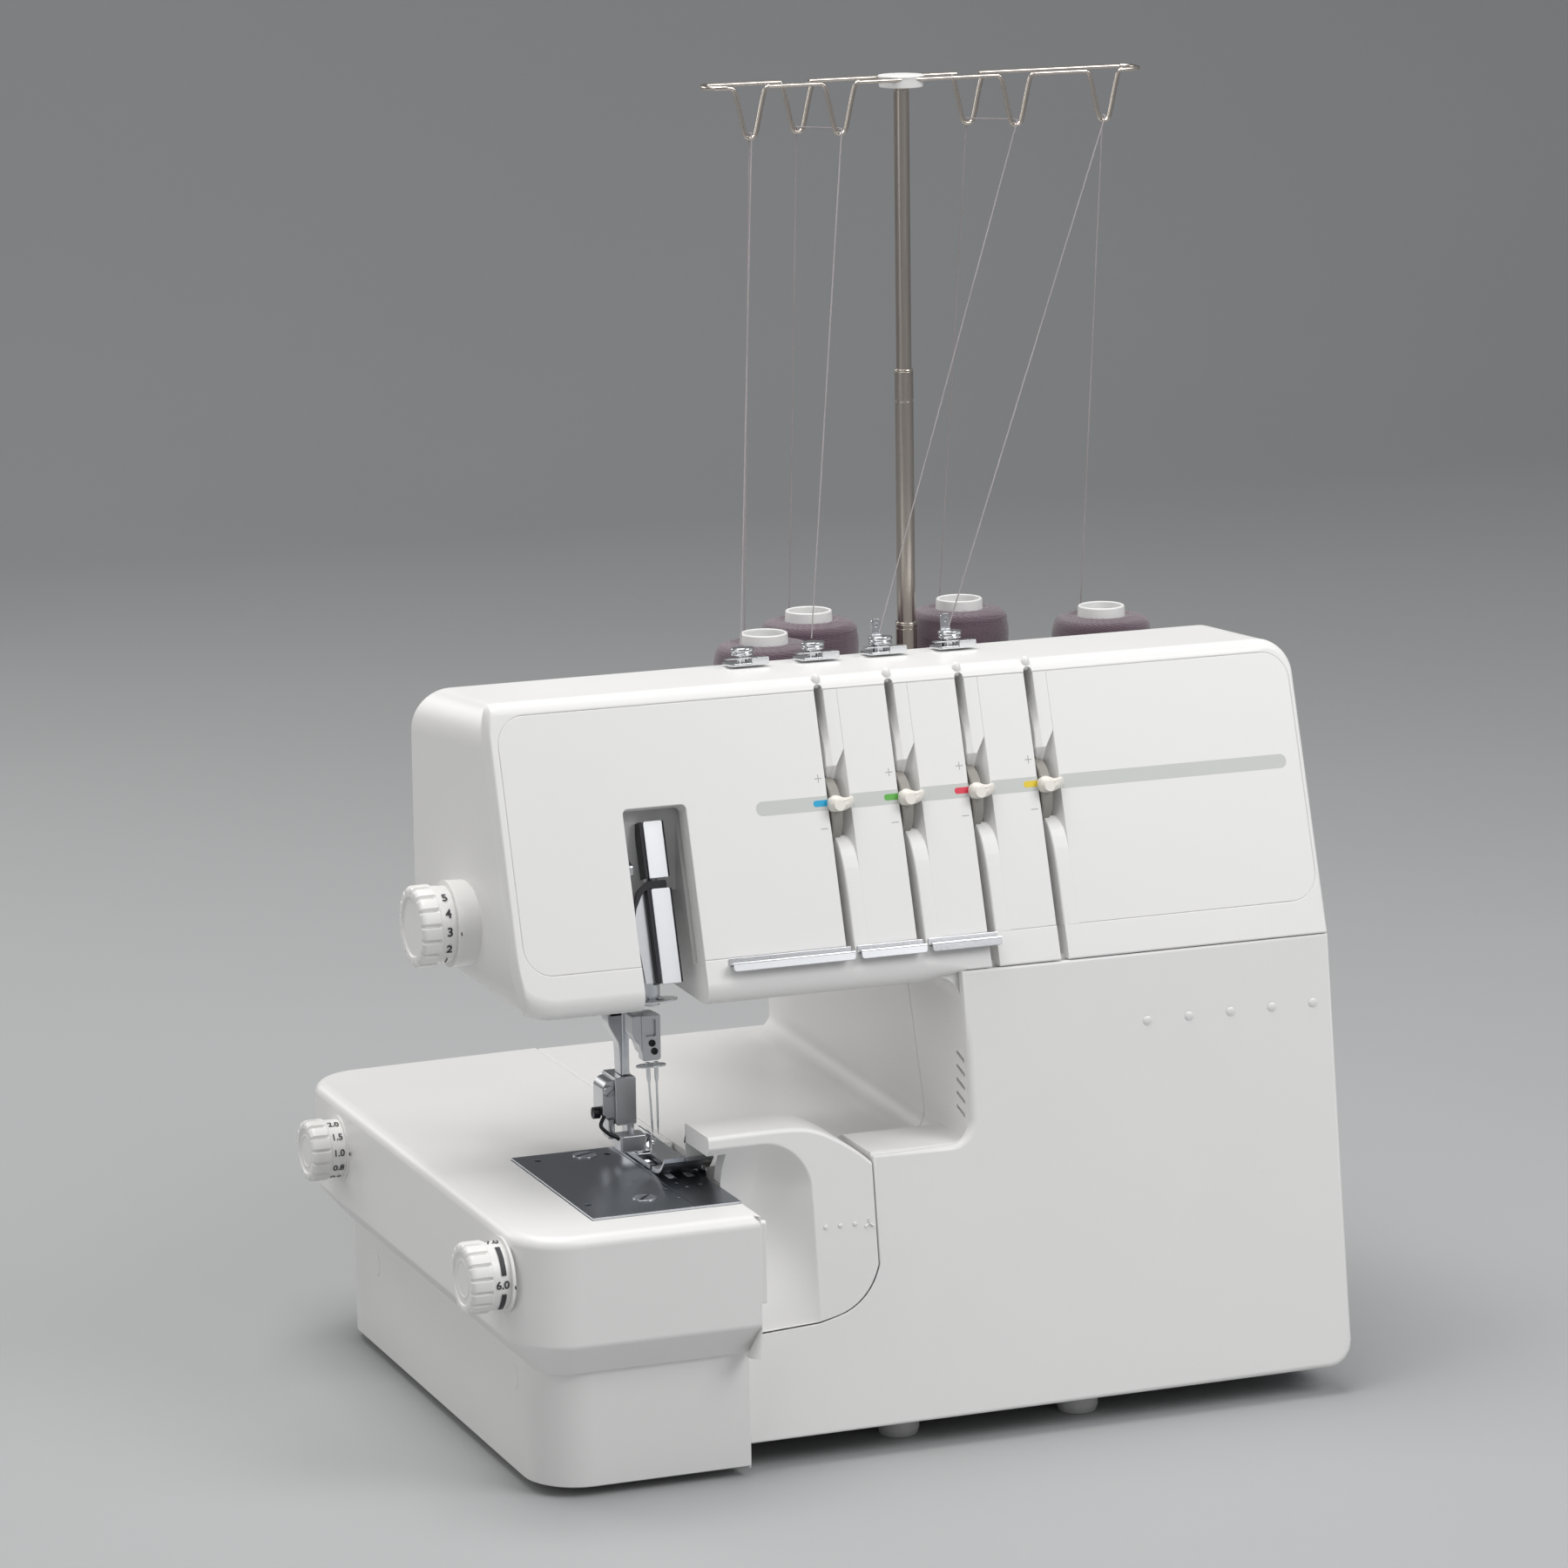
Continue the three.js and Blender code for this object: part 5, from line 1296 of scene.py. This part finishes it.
def knives():
    low, high = span("upper_knife")
    x = low.x
    holder = edged(0.2, (53.4, 98), (62, 98), (62.4, 104, 0.6), (58.6, 106, 1.5), (57.8, 111, 2),
                   (60, 114.4, 2), (63.2, 114.9, 0.5), (62.8, 117.6, 1), (57, 117.9, 3),
                   (54, 111, 4))
    geo = slab(holder, high.x - low.x, across_x(x), back=0.2, steps=2)
    hook = tube(smooth_path([(x + 1, 60.5, 114), (x + 1.1, 62.5, 117), (x + 0.6, 61, 118.6),
                             (x - 2.4, 57, 119.4),
                             (x - 5.2, 54, 118.6), (x - 6.6, 52.4, 115.6)], 6), 0.85, 12, 0.6)
    screw = lathe(profile((0, 0), (2.6, 0), (2.6, 1.4, 0.3), (0, 1.5)), rightward(x + 1.8, 57.6,
                  101.5), 32)
    piece("upper_knife_holder", "knife", "blackened_steel", (geo, DARK_STEEL), (hook, DARK_STEEL),
          (screw, STEEL),
          replaces=["upper_knife"])
    low, high = span("lower_knife")
    blade = slab(edged(0.1, (46, 86, 0.5), (60, 86, 0.5), (60, 104.2, 0.1), (46, 102, 0.4)),
                 high.x - low.x,
                 across_x(low.x), back=0.1, steps=2)
    piece("lower_knife_blade", "root", "steel", (blade, EDGE_STEEL), replaces=["lower_knife"])


def feed_dog():
    base = slab(rectangle(43.2, 92.2, 88.8, 95.8, 0.8, 0.3),
                16.4, across_x(-19.9), back=0.3, steps=2)
    parts = [(base, STEEL)]
    for x in (-13.2, -6):
        for y0, y1 in ((46, 56), (70, 86)):
            saw = edged(0.05, (y0, 95), (y1, 95), (y1, 103.4))
            count = int((y1 - y0) / 1.25)
            for k in range(count):
                y = y1 - (y1 - y0) * k / count
                saw += [(y - 0.45, 104.8, 0, 0.05), (y - (y1 - y0) / count, 103.5, 0, 0.05)]
            parts.append((slab(saw, 2.5, across_x(x), back=0.05, steps=1), EDGE_STEEL))
    thing = piece("feed_dog_body", "feed", "steel", *parts, replaces=["feed_dog"], sharp=20)
    room = block(-18.5, -8.2, 56.5, 67.5, 90, 98, 0.5, 0.1)
    carve(thing, room)


def recess_parts():
    """Back wall of the recess, the two bent guards in front of it, a dark band of painted shade in the gap between
    them, and the take-up lever.
    """
    back = slab(rectangle(RECESS_X[0] - 1, ARM_BOTTOM + 0.5, -18, 216, 0, 0.05), 1.2, lambda x, z,
                d: Vector((x, 73.5 + 0.06 * (z - 216) + d, z)), back=0.05, steps=1)
    side = slab(rectangle(-17.6, ARM_BOTTOM + 0.5, RECESS_X[1] + 1, RECESS_TOP, 0, 0.05), 1.2,
                lambda x, z, d: Vector((x, 68.5 + 0.12 * (z - 240) + d, z)), back=0.05, steps=1)
    piece("recess_back_wall", "root", "white_plastic", (back, WHITE), (side, WHITE))
    face, deep = on_upper, 9.5
    plates = []
    for z0, z1 in ((222.6, 243.2), (184.8, 219.0)):
        x0, x1 = -17.4, -9.8
        outline = edged(0.25, (x0, z0, 0.5), (x1, z0, 0.5), (x1, z1, 0.8), (x0, z1, 0.8))
        plates.append((slab(outline, 0.9, lambda x, z, d: face(x, z, deep + d), back=0.2, steps=3),
                       SATIN_STEEL))
        # The bent side flanges of each guard are coloured blackened steel: painted shade on the sides of the
        # satin-steel plates.
        for x, wide, paint in ((x0 - 1.5, 1.4, DARK_STEEL), (x1 + 0.1, 0.7, DARK_STEEL)):
            plates.append((slab(rectangle(x, z0 + 0.4, x + wide, z1 - 0.2, 0.3, 0.2), 6, lambda x,
                                z, d: face(x, z, deep + 0.5 + d), back=0.2, steps=2), paint))
    flank = edged(0.2, (-19.2, 186), (-19.2, 218.8, 0.3), (-22, 216.5, 3), (-24.4, 209, 4),
                  (-23.4, 196, 4), (-22.6, 186))
    plates.append((slab(flank[::-1], 1.0, lambda x, z, d: face(x, z, deep + 3 + d), back=0.2,
                        steps=3), STEEL))
    # Dark band behind the gap between the guards, in blackened steel's colour: painted shade seen through the gap.
    gap = edged(0.2, (-10.4, 219.0), (-10.4, 221.9, 0.5), (-18.2, 221.9, 2), (-22.6, 218.6, 4),
                (-25.6, 209.5, 3), (-24.9, 207, 0.5), (-23.4, 212.5, 4), (-20.4, 217.6, 3),
                (-17.4, 219.0, 0.4))
    piece("take_up_guard_plates", "root", "chrome", *plates, replaces=["take_up_guard"])
    gap_shade_sheet = slab(gap, 1.6, lambda x, z, d: face(x, z, deep + 1.6 + d), back=0.2, steps=3)
    piece("take_up_guard_gap_shade", "root", "blackened_steel", (gap_shade_sheet, DARK_STEEL))
    low, _ = span("take_up_lever")
    lever = slab(edged(0.3, (46.4, 221.4, 1.2), (60, 222.2, 6), (87.6, 230.4, 4), (87.6, 239.6, 4),
                       (78.4, 239.6, 5), (60, 229.8, 6), (46.4, 225.6, 1.2)), 2.2,
                 across_x(low.x + 0.1),
                 back=0.3, steps=3)
    shaft = lathe(profile((0, 0), (3.9, 0, 0.4), (3.9, 24.6, 0.4), (0, 24.6)), rightward(-26.9, 83,
                  235), 40)
    piece("take_up_lever_arm", "take_up", "steel", (lever, EDGE_STEEL), (shaft, STEEL),
          replaces=["take_up_lever"])


def guide_strips():
    """Bright thread guides along the lower edge of the thread panel."""
    ledge_z, back_z = 188.4, 190.8
    face = on_upper
    for n, (x0, x1) in enumerate(((6.3, 55.1), (57.6, 84.2), (86.4, 114.6)), 1):
        back = slab(edged(0.1, (x0, ledge_z - 0.5), (x1, ledge_z - 0.5), (x1, back_z, 0.4),
                          (x0, back_z, 0.4)),
                    0.5, lambda x, z, d: face(x, z, d - 0.8), back=0.1, steps=2)
        lip = slab(edged(0.12, (x0, ledge_z - 2.7, 1.2), (x1, ledge_z - 2.7, 1.2),
                         (x1, ledge_z + 0.4, 0.4), (x0, ledge_z + 0.4, 0.4)),
                   0.5, lambda x, z, d: face(x, z, d - 4.6), back=0.1, steps=2)
        top = slab(rectangle(x0, 0.8, x1, 4.7, 0, 0.1), 0.5,
                   lambda x, w, d: face(x, ledge_z + 0.35 - d, -w), back=0.1, steps=2)
        parts = [(back, CHROME), (lip, SATIN_STEEL if n < 3 else CHROME), (top, CHROME)]
        piece(f"thread_guide_strip_{n}", "root", "chrome", *parts,
              replaces=["panel_guide_strip"] if n == 1 else ())


# ---- setting dials ------------------------------------------------------------------------------
def digits(text, size, place, paint):
    """Numbers as a thin mesh; place(u, v) bends them onto a surface."""
    curve = bpy.data.curves.new("digits", "FONT")
    curve.body, curve.size, curve.align_x, curve.align_y = text, size, "CENTER", "CENTER"
    curve.offset = size * 0.02
    holder = bpy.data.objects.new("digits", curve)
    bpy.context.scene.collection.objects.link(holder)
    bpy.context.view_layer.update()
    mesh = bpy.data.meshes.new_from_object(holder.evaluated_get(bpy.context.evaluated_depsgraph_get()))
    geo = Geo()
    geo.verts = [place(v.co.x, v.co.y) for v in mesh.vertices]
    geo.faces = [list(p.vertices) for p in mesh.polygons]
    bpy.data.objects.remove(holder)
    bpy.data.curves.remove(curve)
    bpy.data.meshes.remove(mesh)
    return geo, paint


def setting_dial(node, body, marks, base_mark, flutes, ring_face, arcs=()):
    low, high = span(node)
    y, z = (low.y + high.y) / 2, (low.z + high.z) / 2
    r = (high.z - low.z) / 2
    face_x, long = high.x, high.x - low.x
    grooved = long * 0.55
    shape = profile((0, 0.1), (r * 0.93, 0.1), (r * 0.955, long - grooved, 0.4),
                    (r, long - grooved + 0.1, 0.3),
                    (r, long, 2.0), (r * 0.74, long + 0.0, 0.4), (r * 0.70, long - 0.7, 0.4),
                    (0, long - 0.7))
    rings = []
    for a, b in zip(shape, shape[1:]):
        count = 6 if abs(b[1] - a[1]) > 3 and a[0] > r * 0.9 else 1
        rings += [(a[0] + (b[0] - a[0]) * k / count,
                   a[1] + (b[1] - a[1]) * k / count) for k in range(count)]
    rings.append(shape[-1])

    def wave(angle, i):
        rad, h = rings[i]
        if rad < r * 0.8 or h < long - grooved + 0.3:
            return 1
        phase = (angle * flutes / (2 * math.pi)) % 1 - 0.5
        width = 0.13
        run_in = ease((h - (long - grooved)) / 1.6)
        dip = max(0, 1 - (phase / width) ** 2) ** 0.5 if abs(phase) < width else 0
        return 1 - 0.085 * dip * run_in
    parts = [(lathe(rings, leftward(face_x, y, z), 288, wave), KNOB)]
    if ring_face:
        ring = lathe(profile((r * 0.46, long - 0.72), (r * 0.49, long - 0.45, 0.1),
                             (r * 0.53, long - 0.45, 0.1), (r * 0.56, long - 0.72)),
                     leftward(face_x, y, z), 64)
        parts.append((ring, KNOB))
    shell = r * 0.962 + 0.05

    def on_side(angle, along):
        return Vector((face_x - along, y - shell * math.sin(angle) , z + shell * math.cos(angle)))
    for text, degrees in marks:
        middle = math.radians(degrees)

        def bent(u, v, middle=middle):
            return on_side(middle - v / shell, (long - grooved) * 0.52 - u)
        parts.append(digits(text, r * 0.31, bent, INK))
    for start, end in arcs:
        strip_geo = grid(steps_between(math.radians(start), math.radians(end), 16), [2.0, 3.9],
                         lambda a, h: on_side(a, h))
        parts.append((strip_geo, INK))
    piece(f"{node}_body", body, "white_knob", *parts, replaces=[node], sharp=45)
    root = 9 if body == "stitch_dial" else 1.2
    collar = lathe(profile((0, -root), (r * 1.03, -root), (r * 1.06, 0.06, 0.1), (0, 0.06)),
                   leftward(face_x, y, z), 64)
    parts = [(collar, KNOB)]
    for degrees in base_mark:
        angle = math.radians(degrees)
        dot = lathe([(0.001, 0.12), (0.75, 0.12), (0.8, 0)],
                    leftward(face_x, y - (r + 3.2) * math.sin(angle),
                             z + (r + 3.2) * math.cos(angle)), 20)
        parts.append((dot, INK))
    piece(f"{node}_collar", "root", "white_knob", *parts)


def setting_dials():
    step = 27
    setting_dial("stitch_length_dial", "stitch_dial",
                 [(str(5 - k), 36 + step * k) for k in range(5)], (36 + step * 2,), 16, False)
    setting_dial("differential_feed_dial", "feed_dial",
                 [(t, 22 + 32 * k) for k, t in enumerate(("2.0", "1.5", "1.0", "0.8", "0.6"))],
                 (86,), 14, True)
    setting_dial("cutting_width_dial", "width_dial", [("6.0", 92), ("7.0", 4)], (92,), 16, True,
                 arcs=((22, 76), (108, 150)))


# ---- thread supply ------------------------------------------------------------------------------
def spools():
    for n in range(1, 5):
        low, high = span(f"spool_{n}")
        x, y = (low.x + high.x) / 2, (low.y + high.y) / 2
        bottom, top, r = low.z, high.z, (high.x - low.x) / 2
        core = lathe(profile((4.5, bottom), (12.4, bottom, 0.5), (12.0, bottom + 3, 0.5),
                             (9.9, top - 8), (9.3, top, 0.6),
                             (8.1, top, 0.5), (8.5, top - 9), (4.5, top - 10), (4.5, bottom)),
                     upright(x, y), 72)
        shape = profile((10, bottom + 3.2), (r - 1.8, bottom + 3.4, 2), (r - 0.5, bottom + 12, 10),
                        (r - 0.35, top - 12, 6), (r - 1.6, top - 5.2, 3.4), (12, top - 3.6, 2),
                        (9.6, top - 4.2))
        fine = []
        for a, b in zip(shape, shape[1:]):
            length = math.hypot(b[0] - a[0], b[1] - a[1])
            count = max(1, int(length / 0.55))
            fine += [(a[0] + (b[0] - a[0]) * k / count,
                      a[1] + (b[1] - a[1]) * k / count) for k in range(count)]
        fine.append(shape[-1])
        noise = random.Random(n)
        phases = [noise.uniform(0, 6.28) for _ in range(len(fine))]
        amps = [noise.uniform(0.0, 0.010) for _ in range(len(fine))]

        def wave(angle, i, phases=phases, amps=amps, fine=fine):
            h = fine[i][1]
            cross = math.sin(2 * angle + h * 0.55) * 0.004 + math.sin(3 * angle - h * 0.8 + 1) * 0.004
            return 1 + amps[i] * (0.6 + 0.4 * math.sin(angle + phases[i])) - 0.006 + cross
        wound = lathe(fine, upright(x, y), 128, wave)
        piece(f"spool_{n}_core", f"spool_{n}", "white_plastic", (core, CORE),
              replaces=[f"spool_{n}"])
        piece(f"spool_{n}_winding", f"spool_{n}", "thread", (wound, WOUND), sharp=80)
        fuzz = Geo()
        for _ in range(700):
            angle = noise.uniform(0, 2 * math.pi)
            k = noise.randrange(4, len(fine) - 2)
            rad, h = fine[k]
            out = Vector((math.cos(angle), math.sin(angle), 0))
            up = Vector((0, 0, 1)) * (1.0 if h > top - 12 else 0.25)
            start = Vector((x, y, h)) + out * (rad + 0.02)
            side = Vector((-out.y, out.x, 0)) * noise.uniform(-2.4, 2.4)
            lift = noise.uniform(0.3, 1.0)
            mid = start + (out + up) * lift * 0.6 + side * 0.5
            end = start + (out * 0.6 + up * 0.8) * lift * 0.8 + side
            thin = Vector((0, 0, 0.035)) + out * 0.02
            a = fuzz.loop([start - thin, mid - thin, end])
            b = fuzz.loop([start + thin, mid + thin, end + thin * 0.4])
            fuzz.strip(a, b, closed=False)
        piece(f"spool_{n}_fuzz", f"spool_{n}", "thread", (fuzz, FUZZ), weld=0.0)


FUZZ = finish_of("thread_fuzz", (0.26, 0.20, 0.235), 0.9, grain=900, bump=0.01, tint=0.2)


def mast():
    x, y = [(a + b) / 2 for a, b in zip(*span("mast_top_tube"))][:2]
    for node, body, r, collar in (("mast_base_tube", "root", 4.4, 2.2), ("mast_middle_tube",
                                  "mast_middle", 3.75, 12.5),
                                  ("mast_top_tube", "mast_top", 3.1, 0)):
        low, high = span(node)
        z0, z1 = low.z, high.z
        shape = [(0, z0), (r - 0.05, z0, 0.2)]
        if collar:
            groove = z1 - collar
            shape += [(r - 0.05, groove - 0.5, 0.1), (r - 0.3, groove - 0.4),
                      (r - 0.3, groove + 0.1), (r, groove + 0.2, 0.1)]
        shape += [(r, z1 - 0.9, 0.25), (r - 0.25, z1 - 0.75), (r - 0.25, z1 - 0.45), (r, z1 - 0.35),
                  (r - 0.1, z1, 0.15), (0, z1)]
        piece(f"{node}_body", body, "satin_nickel", (lathe(profile(*shape), upright(x, y), 64),
              NICKEL), replaces=[node])
    low, high = span("thread_guide_bar")
    hub_low, hub_high = 496.0, high.z
    hub = lathe(profile((0, hub_low), (8.7, hub_low, 0.4), (8.9, hub_high - 1.2, 0.4),
                        (9.2, hub_high - 1.1, 0.2),
                        (9.2, hub_high - 0.35, 0.3), (0, hub_high)), upright(x, y), 72)
    wire_z = 499.4
    front, rear = y - 7.5, y + 7.5
    fronts, backs, ends = [77.9, 115.7, 190.6, 228.7], [103.6, 176.2], (61.7, 245.7)
    deep = 20

    def hook(cx, yy, way):
        stops = []
        for du, dz in ((-9.6, 0), (-7.4, -0.25), (-6.1, -2.0), (-4.6, -8), (-2.5, -deep + 2.6),
                       (-1.5, -deep + 0.6), (0, -deep + 0.15),
                       (1.5, -deep + 0.6), (2.5, -deep + 2.6), (4.6, -8), (6.1, -2.0), (7.4, -0.25),
                       (9.6, 0)):
            stops.append((cx + way * du, yy, wire_z + dz))
        return stops

    def end(ex, side):
        return [(ex - side * 6.5, front, wire_z), (ex - side * 3, front + 0.9, wire_z),
                (ex - side * 0.6, front + 3.6, wire_z),
                (ex, y, wire_z), (ex - side * 0.6, rear - 3.6, wire_z), (ex - side * 3, rear - 0.9,
                wire_z), (ex - side * 6.5, rear, wire_z)]
    stops = [(x, front, wire_z), (x + 20, front, wire_z)]
    for cx in fronts[2:]:
        stops += hook(cx, front, 1)
    stops += end(ends[1], 1)
    for cx in backs[::-1]:
        stops += hook(cx, rear, -1)
    stops += end(ends[0], -1)[::-1]
    for cx in fronts[:2]:
        stops += hook(cx, front, 1)
    stops += [(x - 16, front, wire_z), (x - 0.5, front, wire_z)]
    bar = tube(smooth_path(stops, 5), 0.9, 14)
    piece("thread_guide_wire", "mast_top", "satin_nickel", (hub, CORE), (bar, NICKEL),
          replaces=["thread_guide_bar"])


def threads():
    """Fine spun threads from each spool over the wire's hooks down to the pretension guides."""
    for n in range(1, 5):
        stops = strand_stops(n)
        noise = random.Random(40 + n)
        line = []
        for a, b in zip(stops, stops[1:]):
            count = max(2, int((b - a).length / 1.1))
            for k in range(count):
                here = a + (b - a) * k / count
                wob = 0.06 if 0 < k else 0
                line.append(here + Vector((noise.uniform(-wob, wob), noise.uniform(-wob, wob), 0)))
        line.append(stops[-1])
        geo = tube(line, lambda share, noise=noise: 0.24 + 0.06 * noise.random(), 6)
        fuzz = Geo()
        for _ in range(int(len(line) * 0.7)):
            here = line[noise.randrange(1, len(line) - 1)]
            way = Vector((noise.uniform(-1, 1), noise.uniform(-1, 1), noise.uniform(-0.6,
                          0.6))).normalized()
            thin = Vector((0.02, 0, 0.02))
            mid = here + way * noise.uniform(0.3, 0.7)
            tip = mid + Vector((noise.uniform(-1, 1), noise.uniform(-1, 1), noise.uniform(-1,
                                1))) * 0.6
            a = fuzz.loop([here - thin, mid - thin, tip])
            b = fuzz.loop([here + thin, mid + thin, tip + thin * 0.3])
            fuzz.strip(a, b, closed=False)
        thing = piece(f"thread_{n}_strand", "root", "thread", (geo, STRAND), (fuzz, STRAND),
                      replaces=[f"thread_{n}"], weld=0.0)
        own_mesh(thing)


def strand_stops(n):
    """Where a thread turns: the spool's side, each hook, the guide."""
    hooks = [(77.9, None), (103.6, 115.7), (176.2, 190.6), (228.7, None)][n - 1]
    sx, sy = [(73.9, 165), (108.4, 205), (173.9, 205), (219, 165)][n - 1]
    gx = (43, 72, 100, 129)[n - 1]
    guide_z = 294.6
    y = 190
    z = 481.5
    stops = [Vector((sx - 3, sy + 14, 281.5))]
    if hooks[1] is None:
        stops += [Vector((hooks[0], y - 7.5 + d, z)) for d in (1.4, 0, -1.4)]
    else:
        stops += [Vector((hooks[0], y + 7.5 + d, z)) for d in (1.4, 0, -1.4)]
        stops += [Vector((hooks[1], y - 7.5 + d, z)) for d in (1.4, 0, -1.4)]
    stops.append(Vector((gx - 1, 106, guide_z)))
    return stops


def spool_stand():
    plan = rectangle(46.3, 136.3, 245.7, 233.7, 12, 2.0)
    geo = slab(plan, 6.4, flat_z(219), back=0.5, steps=5)
    parts = [(geo, KNOB)]
    for n in range(1, 5):
        a, b = span(f"spool_{n}")
        x, y = (a.x + b.x) / 2, (a.y + b.y) / 2
        parts.append((lathe(profile((0, 218.4), (15, 218.4), (15, 220.5, 0.5), (8, 220.6, 0.5),
                                    (3, 221.6, 1), (2.7, 276, 0.5), (1.6, 279, 0.8), (0, 279)),
                            upright(x, y), 48), KNOB))
    collar = lathe(profile((4.9, 215), (9.5, 218.9), (8.6, 221.8, 0.5), (5.2, 222.2, 0.3),
                           (4.9, 215)), upright(144.6, 190), 48)
    thing = piece("spool_stand_body", "root", "white_knob", *parts, replaces=["spool_stand"])
    carve(thing, lathe([(0, 200), (4.9, 200), (4.9, 230), (0, 230)], upright(144.6, 190), 32))
    piece("mast_collar", "root", "black_plastic", (collar, BLACK))


def pretension_guides():
    slope = math.atan2(ARM_TOP - ARM_TOP_BACK, ARM_BACK - upper_y(ARM_TOP))
    for n in range(1, 5):
        x, y, z = span(f"pretension_guide_{n}")[0].x + 7, 107, ARM_TOP - (107 - upper_y(ARM_TOP)) * math.tan(slope) + 0.25

        def place(a, b, h, x=x, y=y, z=z):
            return Vector((x + a, y + b * math.cos(slope) + h * math.sin(slope),
                           z - b * math.sin(slope) + h * math.cos(slope)))
        base = slab(rectangle(-6.6, -5.6, 8.6, 5.6, 1, 0.2), 1.0,
                    lambda u, v, d: place(u, v, 1.1 - d), back=0.1, steps=2)
        spring = slab(edged(0.1, (-8.4, -5.2, 0.6), (2, -5.2, 0.6), (2, 1.5, 0.6),
                            (-8.4, -1.2, 1.5)), 0.45,
                      lambda u, v, d: place(u, v, 3.2 - d), back=0.1, steps=2)
        bent = slab(rectangle(1.6, -5.8, 8.6, -1.2, 0.4, 0.1), 0.6,
                    lambda u, v, d: place(u, v, 3.0 - d), back=0.1, steps=2)
        front = slab(rectangle(1.6, 0.4, 8.6, 3.0, 0.3, 0.1), 0.5,
                     lambda u, v, d: place(u, -5.9 + d, v), back=0.1, steps=2)
        post = lathe(profile((0, 0.6), (2.3, 0.6), (2.3, 3.4), (4.5, 3.8, 0.2), (4.5, 4.5, 0.3),
                             (3.9, 4.9), (4.6, 5.4, 0.2),
                             (4.6, 6.7, 0.5), (0, 6.95)), place, 48)
        parts = [(base, CHROME), (spring, CHROME), (bent, CHROME), (front, CHROME), (post, CHROME)]
        if n > 2:
            eye = circle(6.9, 10.6, 0.85, 20, 0)
            tab = slab(edged(0.12, (4.9, 1), (8.8, 1), (8.8, 12.9, 1.3), (4.9, 12.9, 1.3)), 0.8,
                       lambda u, v, d: place(u - 6.6, 4.4 + d, v), back=0.1,
                       holes=[(eye, 0.1, 0.7)], steps=2)
            parts.append((tab, CHROME))
        piece(f"pretension_guide_{n}_body", "root", "chrome", *parts,
              replaces=[f"pretension_guide_{n}"])


# ---- back, right side, underside and what is inside ---------------------------------------------
def right_side():
    low, high = span("handwheel")
    y, z, r = (low.y + high.y) / 2, (low.z + high.z) / 2, (high.z - low.z) / 2
    wide = high.x - low.x
    rings = profile((0, 0), (r - 3, 0, 0.6), (r, 3, 1), (r, wide - 4, 2.5), (r - 5, wide, 2.5),
                    (r - 12, wide - 1.6, 3),
                    (r - 15, wide - 3, 2), (0, wide - 3))

    def wave(angle, i):
        return 1 - 0.012 * (0.5 + 0.5 * math.cos(36 * angle)) if rings[i][0] > r - 1.2 else 1
    piece("handwheel_body", "drive", "white_knob", (lathe(rings, rightward(low.x, y, z), 216, wave),
          KNOB), replaces=["handwheel"])
    low, high = span("power_inlet")
    shell = slab(rectangle(low.y, low.z, high.y, high.z, 2.5, 0.6), 14, across_x(high.x, -1),
                 back=0.3,
                 holes=[([(low.y + 3, low.z + 3, 2.5), (high.y - 3, low.z + 3, 2.5),
                          (high.y - 3, high.z - 3, 2.5), (low.y + 3, high.z - 3, 2.5)], 0.4, 11.5)])
    pins = [(block(high.x - 11, high.x - 3, yy - 2.2, yy + 2.2, 44.2, 45.8, 0.4, 0.2),
             EDGE_STEEL) for yy in (211.4, 220.6)]
    piece("power_inlet_socket", "root", "black_plastic", (shell, BLACK), *pins,
          replaces=["power_inlet"])
    low, high = span("power_switch")
    middle = (low.y + high.y) / 2
    rocker = slab(edged(0.6, (RIGHT - 5.6, middle - 6.6), (RIGHT - 5.6, middle + 6.6), (RIGHT + 3.2,
                        high.y - 0.6, 1), (RIGHT + 0.2, middle, 14), (RIGHT + 0.3, low.y + 0.4,
                        1))[::-1], high.z - low.z, flat_z(high.z), back=0.5)
    piece("power_switch_rocker", "switch", "black_plastic", (rocker, BLACK),
          replaces=["power_switch"])


def underside():
    low, high = span("base_plate")
    geo = slab(edged(0.6, (low.x + 0.2, low.y + 0.2, 2), (high.x - 0.2, low.y + 0.2, 2),
                     (high.x - 0.2, high.y - 0.2, 10), (low.x + 0.2, high.y - 0.2, 4)),
               high.z - low.z, lambda x, y, d: Vector((x, y, low.z + d)), back=0.2)
    piece("base_plate_casting", "root", "cast_metal", (geo, CAST), replaces=["base_plate"])
    for n in range(1, 5):
        low, high = span(f"foot_{n}")
        x, y = (low.x + high.x) / 2, (low.y + high.y) / 2
        shape = profile((0, 0.6), (3.5, 0.6, 0.3), (4.2, 0, 0.3), (7.2, 0, 0.8), (8, 2.6, 1),
                        (8, high.z, 0.2), (0, high.z))
        piece(f"rubber_foot_{n}", "root", "foot_rubber", (lathe(shape, upright(x, y), 48), RUBBER),
              replaces=[f"foot_{n}"])


CAD_FINISHES = {
    "upper_looper": EDGE_STEEL, "lower_looper": EDGE_STEEL, "main_shaft": STEEL,
                "motor_pulley": STEEL, "motor": CAST,
    "drive_belt": BELT, "hinge_rod": EDGE_STEEL, "presser_lifter": CREAM,
}


def finish_cad_nodes():
    for node, paint in CAD_FINISHES.items():
        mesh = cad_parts[node].data
        mesh.materials.clear()
        mesh.materials.append(paint)


camera()
studio()
arm()
panel_segments()
slot_surfaces()
slot_bumps()
tension_dials()
panel_print()
inner_wall()
housing()
deck()
lower_cover()
needle_plate()
front_cover()
inset_panel()
needles()
presser()
knives()
feed_dog()
recess_parts()
guide_strips()
setting_dials()
spools()
mast()
threads()
spool_stand()
pretension_guides()
right_side()
underside()
finish_cad_nodes()
